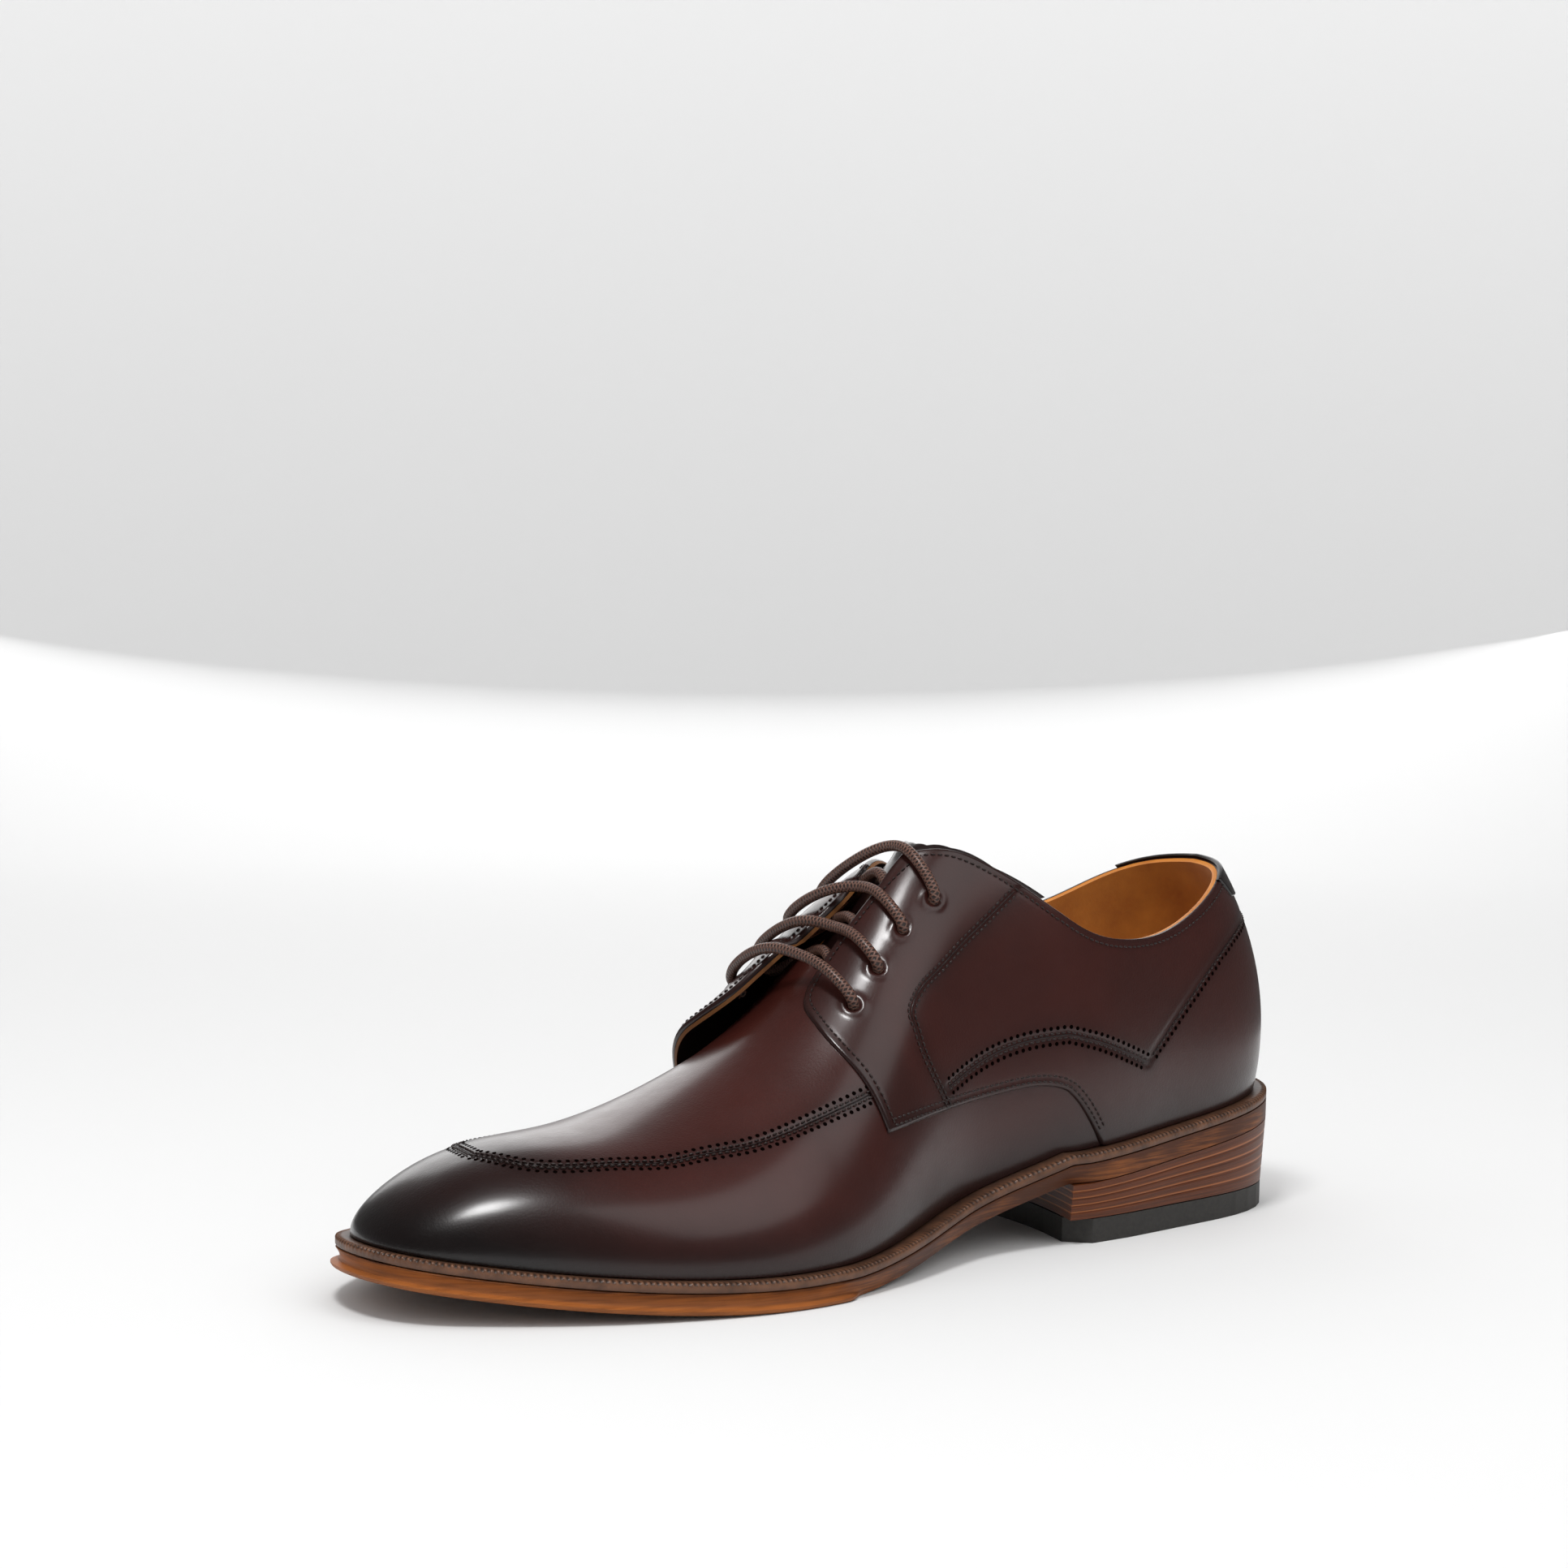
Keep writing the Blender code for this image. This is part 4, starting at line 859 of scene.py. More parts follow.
# Lining: tan calf, pasted inside the vamp and the quarters and trimmed level with the collar. It
# shows inside the shoe and as a thin light line along the top edges.
LINING_OUTSIDE = 0.0011
LINING_INSIDE = 0.0018
LINING_LOW = 0.03
LINING_COLUMNS = 220
LINING_ROWS = 60
turns = np.concatenate([
    np.linspace(0, throat_end, LINING_COLUMNS // 2 + 1),
    np.linspace(throat_end, math.pi, LINING_COLUMNS // 2 + 1)[1:]])
points = []
faces = []
offset = 0
for side in (INNER, OUTER):
    collar = top_line_up(np.minimum(turns, turn_of(TOP_LINE[-1][0])), side) + COLLAR_ROOM
    top = np.where(turns <= facing_start, collar, np.where(turns < throat_end - 1e-9, throat_up(turns), 1.0))
    up = LINING_LOW + (top[:, None] - LINING_LOW) * np.linspace(0, 1, LINING_ROWS + 1)
    turn = np.repeat(turns[:, None], LINING_ROWS + 1, axis=1)
    outer = off_form(turn, up, side, -LINING_OUTSIDE)
    inner = off_form(turn, up, side, -LINING_INSIDE)
    rows, columns = outer.shape[:2]
    count = rows * columns
    index = np.arange(count).reshape(rows, columns)
    rims = [np.stack([line[:-1], line[1:], line[1:] + count, line[:-1] + count], -1)
            for line in (index[:, 0], index[:LINING_COLUMNS // 2 + 1, -1])]
    faces.append(offset + np.concatenate([
        grid_faces(rows, columns), grid_faces(rows, columns, count)[:, ::-1]] + rims))
    points += [outer.reshape(-1, 3), inner.reshape(-1, 3)]
    offset += 2 * count
lining = new_piece("lining", np.concatenate(points), np.concatenate(faces), lining_leather, 50)
worn_by(lining, "lining_leather", "upper")


# Quarters: the two side pieces, closed at the back, with their lace facings left open over the
# tongue. Each is a leather layer with a lining layer under it. The outer one stands off the vamp.
FEATHER_ROOM = 0.0
QUARTER_WALL = 0.0024
QUARTER_LEATHER = 0.0013
FREE_LIFT = 0.0006
FLAP_LIFT = 0.0062
EDGE_ROUND = 0.0009
SEAM_GROOVE = 0.00018
SEAM_GROOVE_PLACE = 0.0008
SEAM_GROOVE_WIDTH = 0.0007
EDGE_STITCH_INSET = 0.0024
EDGE_STITCH_DENT = 0.00005
EYELET_RIM_HEIGHT = 0.00035
EYELET_RIM_RADIUS = 0.0027
EYELET_RIM_WIDTH = 0.0009
EYELET_SINK = 0.0009
EYELET_SINK_RADIUS = 0.0016
BACKING_START = 0.70
BACKING_BLEND = 0.06
QUARTER_COLUMNS = 250
QUARTER_ROWS = 104
FRONT_FADE = 5
LOWER_EDGE = {
    INNER: [(0.277, 0.000), (0.296, 0.064), (0.317, 0.116), (0.349, 0.156), (0.401, 0.184), (0.466, 0.230),
            (0.519, 0.290), (0.562, 0.343)],
    OUTER: [(0.277, 0.000), (0.296, 0.064), (0.317, 0.116), (0.349, 0.156), (0.401, 0.184), (0.466, 0.230),
            (0.532, 0.290), (0.585, 0.343)],
}
FRONT_EDGE = {
    INNER: [(0.562, 0.343), (0.574, 0.553), (0.583, 0.720), (0.581, 0.860), (0.566, 0.955), (0.537, 0.980),
            (0.491, 0.965), (0.448, 0.914)],
    OUTER: [(0.585, 0.343), (0.605, 0.500), (0.616, 0.640), (0.605, 0.760), (0.581, 0.840), (0.542, 0.870),
            (0.491, 0.880), (0.448, 0.880)],
}
FACING_SEAM = [
    (0.3652, 0.575), (0.4040, 0.549), (0.4349, 0.544), (0.4677, 0.551), (0.4902, 0.561), (0.5024, 0.549),
    (0.5041, 0.508), (0.5024, 0.453), (0.4955, 0.377), (0.4850, 0.308), (0.4712, 0.236)]
SWAN_NECK = [
    (0.4712, 0.286), (0.4452, 0.279), (0.4194, 0.274), (0.3871, 0.267), (0.3552, 0.255), (0.3288, 0.241),
    (0.2967, 0.222), (0.2609, 0.189), (0.2208, 0.146)]
COUNTER_SEAM = [
    (0.2151, 0.158), (0.1832, 0.210), (0.1484, 0.265), (0.1100, 0.322), (0.0514, 0.387), (0.012, 0.415)]
FACING_STEP = 0.00022
EYELETS = {
    INNER: [(0.449, 0.710), (0.485, 0.742), (0.518, 0.740), (0.550, 0.737)],
    OUTER: [(0.455, 0.650), (0.492, 0.680), (0.519, 0.650), (0.551, 0.672)],
}


def signed_distance(points, normals, line):
    """Distance to a line, positive on the left of its direction as seen from outside the leather."""
    gap, which = distance_to(points, line)
    ahead = np.gradient(line, axis=0)
    side = (np.cross(normals, ahead[which]) * (points - line[which])).sum(-1)
    return np.where(side >= 0, gap, -gap)


def closed_wall(outer, inner):
    """Points and faces of a wall between two grids, with rims along all four edges."""
    rows, columns = outer.shape[:2]
    count = rows * columns
    index = np.arange(count).reshape(rows, columns)
    rims = []
    for line in (index[:, 0], index[:, -1], index[0], index[-1]):
        rims.append(np.stack([line[:-1], line[1:], line[1:] + count, line[:-1] + count], -1))
    faces = np.concatenate([grid_faces(rows, columns), grid_faces(rows, columns, count)[:, ::-1]] + rims)
    return np.concatenate([outer.reshape(-1, 3), inner.reshape(-1, 3)]), faces


def crowded(count, start, end):
    """Shares from 0 to 1 that crowd towards either end, as a blend of even and cosine steps."""
    even = np.linspace(0, 1, count + 1)
    low = start * (1 - np.cos(even * math.pi / 2)) + (1 - start) * even
    return end * np.sin(low * math.pi / 2) + (1 - end) * low


def edge_at(points, shares):
    points = np.asarray(points, float)
    turns = turn_of(points[:, 0])
    reach = np.concatenate([[0], np.cumsum(np.hypot(np.diff(turns), np.diff(points[:, 1])))])
    return np.stack([
        spline(reach, turns, shares * reach[-1]), spline(reach, points[:, 1], shares * reach[-1])], -1)


def quarter_patch(side, s, r):
    """Turn and up over a quarter: straight from its lower edge to its top line, and bent towards its
    front edge by s to the power FRONT_FADE."""
    lower_edge = LOWER_EDGE[side]
    along_sole = np.minimum(s * 2, 1) * turn_of(lower_edge[0][0])
    rising = edge_at(lower_edge, np.clip(s * 2 - 1, 0, 1))
    lower = np.where(s[:, None] <= 0.5, np.stack([along_sole, np.full_like(s, FEATHER_ROOM)], -1), rising)
    lower[:, 1] = np.maximum(lower[:, 1], FEATHER_ROOM)
    front = edge_at(FRONT_EDGE[side], r)
    top_turn = s * turn_of(FRONT_EDGE[side][-1][0])
    top = np.stack([top_turn, top_line_up(top_turn, side) + COLLAR_ROOM], -1)
    front = front + smooth(r * 9 - 8)[:, None] * (top[-1] - front[-1])
    s = s[:, None, None]
    r = r[None, :, None]
    ruled = (1 - r) * lower[:, None] + r * top[:, None]
    patch = ruled + s ** FRONT_FADE * (front[None] - ruled[-1:])
    return patch[..., 0], np.clip(patch[..., 1], 0, 1)


def flap_lift(s, r, side):
    """How far the outer quarter's free lobe and facing stand off what lies under them."""
    highest = FLAP_LIFT if side == OUTER else 0.0
    return highest * smooth((s - 0.72) / 0.28) * smooth((r - 0.18) / 0.30) * (1 - smooth((r - 0.68) / 0.30))


def rounded(gap, radius):
    """How much a face drops within a radius of its edge, along a quarter circle."""
    share = np.clip(1 - gap / radius, 0, 1)
    return radius * (1 - np.sqrt(1 - share ** 2))


lining_shade_paint, tree, shader = new_material("tan_lining_leather_with_painted_shade", Roughness=0.6, IOR=1.45)
# The quarters' lining is tan. Behind the facings it is painted dark brown, painted shade for the shadow
# inside them, and only its cut edge is left tan.
spot = add_node(tree, "ShaderNodeTexCoord").outputs["Object"]
cloud = add_node(tree, "ShaderNodeTexNoise", {
    "Vector": spot, "Scale": 60.0, "Detail": 5.0, "Roughness": 0.6})
painted_shade_share = add_node(tree, "ShaderNodeAttribute", attribute_name="backing")
tan = add_node(tree, "ShaderNodeValToRGB", {"Fac": cloud.outputs["Fac"]})
tan.color_ramp.elements[0].position = 0.3
tan.color_ramp.elements[0].color = rgba("#a4601f")
tan.color_ramp.elements[1].position = 0.7
tan.color_ramp.elements[1].color = rgba("#c9802f")
mixed = add_node(tree, "ShaderNodeMix", {
    "Factor": painted_shade_share.outputs["Fac"], 6: tan.outputs["Color"], 7: rgba("#1a0e0a")}, data_type="RGBA")
tree.links.new(mixed.outputs[2], shader.inputs["Base Color"])
quarter_sheets = {}
for side, name in ((INNER, "inner_quarter"), (OUTER, "outer_quarter")):
    s = crowded(QUARTER_COLUMNS, 0.0, 0.75)
    r = crowded(QUARTER_ROWS, 0.5, 0.7)
    turn, up = quarter_patch(side, s, r)
    s, r = np.meshgrid(s, r, indexing="ij")
    lift = flap_lift(s, r, side)
    over_throat = smooth((up - throat_up(turn) + 0.02) / 0.06) * smooth((turn - 1.25) / 0.1)
    free = smooth(lift / FREE_LIFT) * (1 - over_throat)
    base = form(turn, up, side)
    normal = outward(turn, up, side)
    edge = np.concatenate([base[-1], base[:, -1], base[s[:, 0] > 0.5, 0]])
    gap, _ = distance_to(base, edge)
    seams = {key: leather_line(rows, side) for key, rows in (
        ("facing", FACING_SEAM), ("swan", SWAN_NECK), ("counter", COUNTER_SEAM))}
    front_of = -side * signed_distance(base, normal, seams["facing"])
    outside = lift + QUARTER_STEP + (QUARTER_WALL - QUARTER_STEP) * free - rounded(gap, EDGE_ROUND)
    outside = outside + FACING_STEP * (smooth((front_of + 0.0008) / 0.0016) - 0.5)
    for line in (seams["swan"], seams["counter"]):
        near, _ = distance_to(base, line)
        outside = outside - SEAM_GROOVE * np.exp(-((near - SEAM_GROOVE_PLACE) / SEAM_GROOVE_WIDTH) ** 2)
    outside = outside - EDGE_STITCH_DENT * np.exp(-((gap - EDGE_STITCH_INSET) / SEAM_GROOVE_WIDTH) ** 2)
    for place, height in EYELETS[side]:
        hole = form(np.array([turn_of(place)]), np.array([height]), side)[0]
        reach = np.linalg.norm(base - hole, axis=-1)
        rim = np.exp(-((reach - EYELET_RIM_RADIUS) / EYELET_RIM_WIDTH) ** 2)
        outside = outside + EYELET_RIM_HEIGHT * rim
        outside = outside - EYELET_SINK * np.exp(-(reach / EYELET_SINK_RADIUS) ** 4)
    quarter_sheets[side] = (turn, up, outside)
    wall_base = lift + QUARTER_STEP + (QUARTER_WALL - QUARTER_STEP) * free
    outer = base + normal * outside[..., None]
    middle = base + normal * (wall_base - QUARTER_LEATHER)[..., None]
    points, faces = closed_wall(outer, middle)
    dark = burnish_of(outer, [seams["facing"], seams["swan"], seams["counter"]])
    dark = dark + 0.22 * np.exp(-(gap / 0.0015) ** 2) + 0.14 * smooth((front_of - 0.002) / 0.01)
    values = np.concatenate([dark.ravel(), np.full(dark.size, 0.9)])
    quarter = new_piece(name, points, faces, calf, 55, {"burnish": values})
    worn_by(quarter, "upper_leather", "upper")
    keep = (slice(None, None, 2), slice(None, None, 2))
    under = base + normal * (wall_base - QUARTER_LEATHER - 0.0001)[..., None]
    inner = base + normal * (wall_base - QUARTER_WALL)[..., None]
    points, faces = closed_wall(under[keep], inner[keep])
    # Painted shade: the lining goes dark behind the facings and fades back to tan along its cut edge.
    facing_shade = smooth((s - BACKING_START) / BACKING_BLEND)
    dark = (facing_shade * (0.7 + 0.3 * smooth(gap / 0.0004)))[keep]
    backing = new_piece(name + "_lining", points, faces, lining_shade_paint, 55, {
        "backing": np.concatenate([dark.ravel(), dark.ravel()])})
    worn_by(backing, "lining_leather", "upper")


# Backstay: a small tab of the same calf that covers the top of the back seam. It is folded over the
# collar, skived thin at its edges and stitched down.
BACKSTAY_TURN = 0.50
BACKSTAY_LOW = 0.45
BACKSTAY_THICKNESS = 0.0006
BACKSTAY_COLUMNS = 40
BACKSTAY_ROWS = 40
rows = np.linspace(0, 1, BACKSTAY_ROWS + 1)
cols = crowded(BACKSTAY_COLUMNS, 0.0, 0.8)
sheets = []
for side in (INNER, OUTER):
    turn = BACKSTAY_TURN * (0.84 + 0.16 * rows[None]) * cols[:, None]
    top = top_line_up(turn[:, -1], side) + COLLAR_ROOM + 0.004
    up = BACKSTAY_LOW + (top[:, None] - BACKSTAY_LOW) * rows[None]
    base = form(turn, up, side)
    normal = outward(turn, up, side)
    edge = np.concatenate([base[-1], base[:, 0], base[:, -1]])
    gap, _ = distance_to(base, edge)
    height = QUARTER_STEP + BACKSTAY_THICKNESS - rounded(gap, BACKSTAY_THICKNESS)
    sheets.append((base + normal * height[..., None], base + normal * (QUARTER_STEP - 0.0008), gap))
outer = np.concatenate([sheets[0][0][::-1], sheets[1][0][1:]])
inner = np.concatenate([sheets[0][1][::-1], sheets[1][1][1:]])
gap = np.concatenate([sheets[0][2][::-1], sheets[1][2][1:]])
points, faces = closed_wall(outer, inner)
dark = 0.45 + 0.3 * np.exp(-(gap / 0.0015) ** 2)
backstay = new_piece("backstay", points, faces, calf, 55, {
    "burnish": np.concatenate([dark.ravel(), dark.ravel()])})
worn_by(backstay, "upper_leather")


# Tongue: calf with a soft padded edge, lined and turned, sewn in under the throat. It lies between
# the facings and the foot.
TONGUE_WALL = 0.0022
TONGUE_RISE = 0.0055
TONGUE_REACH = 0.010
TONGUE_DEPTH = 0.0034
TONGUE_PAD = 0.0007
TONGUE_PAD_PLACE = 0.003
TONGUE_EDGE = 0.0010
TONGUE_EDGE_DEPTH = 0.0028
TONGUE_SINK_REACH = 0.012
TONGUE_FRONT_UP = 0.70
TONGUE_ROWS = 90
TONGUE_COLUMNS = 50
TONGUE_TOP = np.array([(0.343, 0.530), (0.390, 0.657), (0.427, 0.804), (0.446, 0.914), (0.450, 1.000)])
front = turn_of(THROAT[-1][0] + TONGUE_REACH / FORM_LENGTH)
rows = crowded(TONGUE_ROWS, 0.6, 0.0)
halves = []
for side in (INNER, OUTER):
    edge_up = TONGUE_TOP[0, 1] + (TONGUE_FRONT_UP - TONGUE_TOP[0, 1]) * smooth(rows / 0.6)
    up = edge_up[:, None] + (1 - edge_up[:, None]) * np.linspace(0, 1, TONGUE_COLUMNS + 1)
    back = turn_of(np.interp(up, TONGUE_TOP[:, 1], TONGUE_TOP[:, 0]) - TONGUE_RISE / FORM_LENGTH)
    turn = back + (front - back) * rows[:, None]
    base = form(turn, up, side)
    normal = outward(turn, up, side)
    gap, _ = distance_to(base, base[0])
    pad = TONGUE_PAD * np.exp(-((gap - TONGUE_PAD_PLACE) / TONGUE_PAD_PLACE) ** 2)
    away = smooth(gap / TONGUE_SINK_REACH)
    sunk = TONGUE_DEPTH * away + TONGUE_EDGE_DEPTH * (1 - away)
    outer = base + normal * (pad - sunk - rounded(gap, TONGUE_EDGE))[..., None]
    inner = base + normal * (rounded(gap, TONGUE_EDGE) - sunk - TONGUE_WALL)[..., None]
    halves.append((outer, inner))
outer = np.concatenate([halves[0][0], halves[1][0][:, -2::-1]], 1)
inner = np.concatenate([halves[0][1], halves[1][1][:, -2::-1]], 1)
points, faces = closed_wall(outer, inner)
tongue = new_piece("tongue_leather", points, faces, calf, 55, {
    "burnish": np.full(len(points), 0.62)})
worn_by(tongue, "upper_leather", "tongue")


# Lace: one round braided cord, waxed, in four bars from hole to hole. Under the facings it runs
# slantwise from each bar to the next. Its ends stop just inside the highest and the lowest hole.
LACE_DIAMETER = 0.0030
LACE_BOW = 0.0045
LACE_CLEARANCE = 0.0011
LACE_SHOULDER = 0.87
LACE_SIDES = 14
LACE_STEP = 0.0004
LACE_UNDER = 0.0030
HOLE_DEPTH = 0.0010
# for each bar, the cord's height at its holes as a share of its thickness, then how high it bows
# over the inner facing, the throat and the outer facing, as shares of LACE_BOW
BARS = [
    (0.14, -0.02, -0.24, -0.04), (0.12, -0.10, -0.18, 0.30), (0.42, 0.15, 0.00, 0.08),
    (0.60, 0.55, 0.95, 0.40)]


def on_leather(side, turn, up, above):
    """Points over a quarter's outer face, from the height of the nearest point of its grid."""
    grid_turn, grid_up, outside = quarter_sheets[side]
    flat = np.stack([grid_turn.ravel(), grid_up.ravel()], -1)
    asked = np.stack([np.ravel(turn), np.ravel(up)], -1)
    which = np.concatenate([
        ((asked[i:i + 200, None] - flat[None]) ** 2).sum(-1).argmin(1) for i in range(0, len(asked), 200)])
    height = outside.ravel()[which].reshape(np.shape(turn))
    return off_form(turn, up, side, height + above)


def lace_point(side, place, up, above):
    """A point over a quarter's plain face, without the rims and grooves of its grid."""
    turn = np.array([float(turn_of(place))])
    grid_turn, grid_up, _ = quarter_sheets[side]
    miss = (grid_turn - turn[0]) ** 2 + (grid_up - up) ** 2
    column, row = np.unravel_index(np.argmin(miss), miss.shape)
    across = crowded(QUARTER_COLUMNS, 0.0, 0.75)[column]
    upwards = crowded(QUARTER_ROWS, 0.5, 0.7)[row]
    lift = flap_lift(across, upwards, side)
    return off_form(turn, np.array([float(up)]), side, QUARTER_STEP + lift + above)[0]


route = []
for number, (seat, inner_rise, rise, outer_rise) in enumerate(BARS):
    inner_hole = EYELETS[INNER][number]
    outer_hole = EYELETS[OUTER][number]
    half = LACE_DIAMETER / 2
    route += [
        lace_point(INNER, inner_hole[0], inner_hole[1] - 0.010, -LACE_UNDER),
        lace_point(INNER, inner_hole[0], inner_hole[1] - 0.004, -HOLE_DEPTH),
        lace_point(INNER, inner_hole[0], inner_hole[1] + 0.012, half + LACE_DIAMETER * seat * 0.6),
        lace_point(INNER, inner_hole[0], LACE_SHOULDER, half + LACE_CLEARANCE + inner_rise * LACE_BOW),
        lace_point(INNER, inner_hole[0], 1.0, half + LACE_CLEARANCE + rise * LACE_BOW),
        lace_point(OUTER, outer_hole[0], LACE_SHOULDER, half + LACE_CLEARANCE + outer_rise * LACE_BOW),
        lace_point(OUTER, outer_hole[0], outer_hole[1] + 0.012, half + LACE_DIAMETER * seat * 0.6),
        lace_point(OUTER, outer_hole[0], outer_hole[1] - 0.004, -HOLE_DEPTH),
        lace_point(OUTER, outer_hole[0], outer_hole[1] - 0.010, -LACE_UNDER),
    ]
    if number < len(BARS) - 1:
        next_hole = EYELETS[INNER][number + 1]
        middle = (outer_hole[0] + next_hole[0]) / 2
        route += [
            off_form(np.array([turn_of(outer_hole[0] + 0.008)]), np.array([0.90]), OUTER, -0.0010)[0],
            off_form(np.array([turn_of(middle)]), np.array([1.0]), INNER, -0.0012)[0],
            off_form(np.array([turn_of(next_hole[0] - 0.008)]), np.array([0.90]), INNER, -0.0020)[0],
        ]
route = np.array(route)
reach = np.concatenate([[0], np.cumsum(np.linalg.norm(np.diff(route, axis=0), axis=1) ** 0.5)])
dense = np.stack([spline(reach, route[:, i], np.linspace(0, reach[-1], 4000)) for i in range(3)], -1)
walk = np.concatenate([[0], np.cumsum(np.linalg.norm(np.diff(dense, axis=0), axis=1))])
lace_length = walk[-1]
at = np.linspace(0, lace_length, int(lace_length / LACE_STEP))
path = np.stack([np.interp(at, walk, dense[:, i]) for i in range(3)], -1)


def swept_tube(path, radius, sides, along):
    """Points, faces and UVs of a round tube: rings turned least from one step to the next."""
    ahead = np.gradient(path, axis=0)
    ahead /= np.linalg.norm(ahead, axis=1, keepdims=True)
    sideways = np.empty_like(path)
    current = np.cross(ahead[0], (0.3, 0.1, 1.0))
    for i, direction in enumerate(ahead):
        current = current - direction * (current @ direction)
        current /= np.linalg.norm(current)
        sideways[i] = current
    over = np.cross(ahead, sideways)
    angle = np.linspace(0, 2 * math.pi, sides + 1)[:-1]
    spokes = np.cos(angle)[None, :, None] * sideways[:, None] + np.sin(angle)[None, :, None] * over[:, None]
    rings = path[:, None] + spokes * radius
    points = np.concatenate([rings.reshape(-1, 3), path[:1], path[-1:]])
    last = (len(path) - 1) * sides
    caps = [[(i + 1) % sides, i, len(points) - 2] for i in range(sides)]
    caps += [[last + i, last + (i + 1) % sides, len(points) - 1] for i in range(sides)]
    faces = list(grid_faces(len(path), sides, closed=True)) + caps
    around = np.abs(np.linspace(0, 2, sides + 1)[:-1] - 1)
    uv = np.stack(np.broadcast_arrays(along[:, None], around[None]), -1).reshape(-1, 2)
    return points, faces, np.concatenate([uv, uv[:1], uv[-1:]])


waxed_cord, tree, shader = new_material("waxed_braided_cord", Roughness=0.5, IOR=1.5)
# Cotton braid filled with brown wax: its strands cross every 1.1 mm and catch small highlights.
shader.inputs["Coat Weight"].default_value = 0.35
shader.inputs["Coat Roughness"].default_value = 0.3
along = add_node(tree, "ShaderNodeUVMap", uv_map="along")
split = add_node(tree, "ShaderNodeSeparateXYZ", {"Vector": along.outputs["UV"]})
strands = []
for lean in (1, -1):
    slant = add_node(tree, "ShaderNodeMath", {0: split.outputs["Y"], 1: lean * 12.0}, operation="MULTIPLY")
    phase = add_node(tree, "ShaderNodeMath", {
        0: split.outputs["X"], 1: 2 * math.pi / 0.0011, 2: slant.outputs[0]}, operation="MULTIPLY_ADD")
    strands.append(add_node(tree, "ShaderNodeMath", {0: phase.outputs[0]}, operation="SINE"))
braid = add_node(tree, "ShaderNodeMath", {
    0: strands[0].outputs[0], 1: strands[1].outputs[0]}, operation="MAXIMUM")
ramp = add_node(tree, "ShaderNodeValToRGB", {"Fac": braid.outputs[0]})
ramp.color_ramp.elements[0].color = rgba("#24140f")
ramp.color_ramp.elements[1].color = rgba("#6b493c")
tree.links.new(ramp.outputs["Color"], shader.inputs["Base Color"])
bump = add_node(tree, "ShaderNodeBump", {"Height": braid.outputs[0], "Strength": 0.8, "Distance": 0.0002})
tree.links.new(bump.outputs["Normal"], shader.inputs["Normal"])
points, faces, uv = swept_tube(path, LACE_DIAMETER / 2, LACE_SIDES, at)
lace = new_piece("lace_cord", points, faces, waxed_cord, 60, uv=uv)
worn_by(lace, "waxed_cord", "lace_bar_1", "lace_bar_2", "lace_bar_3", "lace_bar_4")


# Stitches: dark waxed thread, sewn by machine in single and double rows beside the seams. Each one
# shows as a short raised bead that is pressed into the leather at both ends.
STITCH_PITCH = 0.0018
STITCH_LENGTH = 0.00135
STITCH_RADIUS = 0.00026
# how far each row lies from its seam, and the rows of the lower edge from that edge
APRON_ROWS = (-0.0008, 0.0008)
FACING_ROWS = (-0.0010, 0.0010)
SWAN_ROWS = (-0.0007, 0.0007)
COUNTER_ROW = 0.0005
LOWER_ROWS = (0.0014, 0.0030)
COLLAR_ROW = -0.0022
COLLAR_ROW_START = 0.42
thread, tree, shader = new_material("waxed_linen_thread", Roughness=0.45, IOR=1.5)
# Nearly black brown thread, twisted, with a slight waxy shine.
spot = add_node(tree, "ShaderNodeTexCoord").outputs["Object"]
twist = add_node(tree, "ShaderNodeTexNoise", {"Vector": spot, "Scale": 3000.0, "Detail": 2.0})
ramp = add_node(tree, "ShaderNodeValToRGB", {"Fac": twist.outputs["Fac"]})
ramp.color_ramp.elements[0].color = rgba("#0e0807")
ramp.color_ramp.elements[1].color = rgba("#2e1c18")
tree.links.new(ramp.outputs["Color"], shader.inputs["Base Color"])


def beside(curve, side, distance):
    """A (turn, up) line moved sideways over the leather, up when it travels towards the toe.

    The sideways step is split between the two directions by solving for them at each point.
    """
    turn = curve[:, 0]
    up = np.clip(curve[:, 1], 0.001, 0.999)
    step = 1e-4
    by_turn = (form(turn + step, up, side) - form(turn - step, up, side)) / (2 * step)
    by_up = (form(turn, up + step, side) - form(turn, up - step, side)) / (2 * step)
    line = form(turn, up, side)
    ahead = np.gradient(line, axis=0)
    ahead /= np.linalg.norm(ahead, axis=1, keepdims=True)
    move = -side * np.cross(outward(turn, up, side), ahead) * distance
    a = (by_turn ** 2).sum(-1)
    b = (by_turn * by_up).sum(-1)
    c = (by_up ** 2).sum(-1)
    p = (by_turn * move).sum(-1)
    q = (by_up * move).sum(-1)
    det = a * c - b * b
    return np.stack([turn + (p * c - q * b) / det, np.clip(up + (q * a - p * b) / det, 0, 1)], -1)


def evenly(curve, side, pitch, phase=0.0):
    """(turn, up) at every pitch along a line, by its length over the leather."""
    line = form(curve[:, 0], np.clip(curve[:, 1], 0, 1), side)
    walk = np.concatenate([[0], np.cumsum(np.linalg.norm(np.diff(line, axis=0), axis=1))])
    at = np.arange(phase, walk[-1], pitch)
    return np.stack([np.interp(at, walk, curve[:, i]) for i in range(2)], -1)


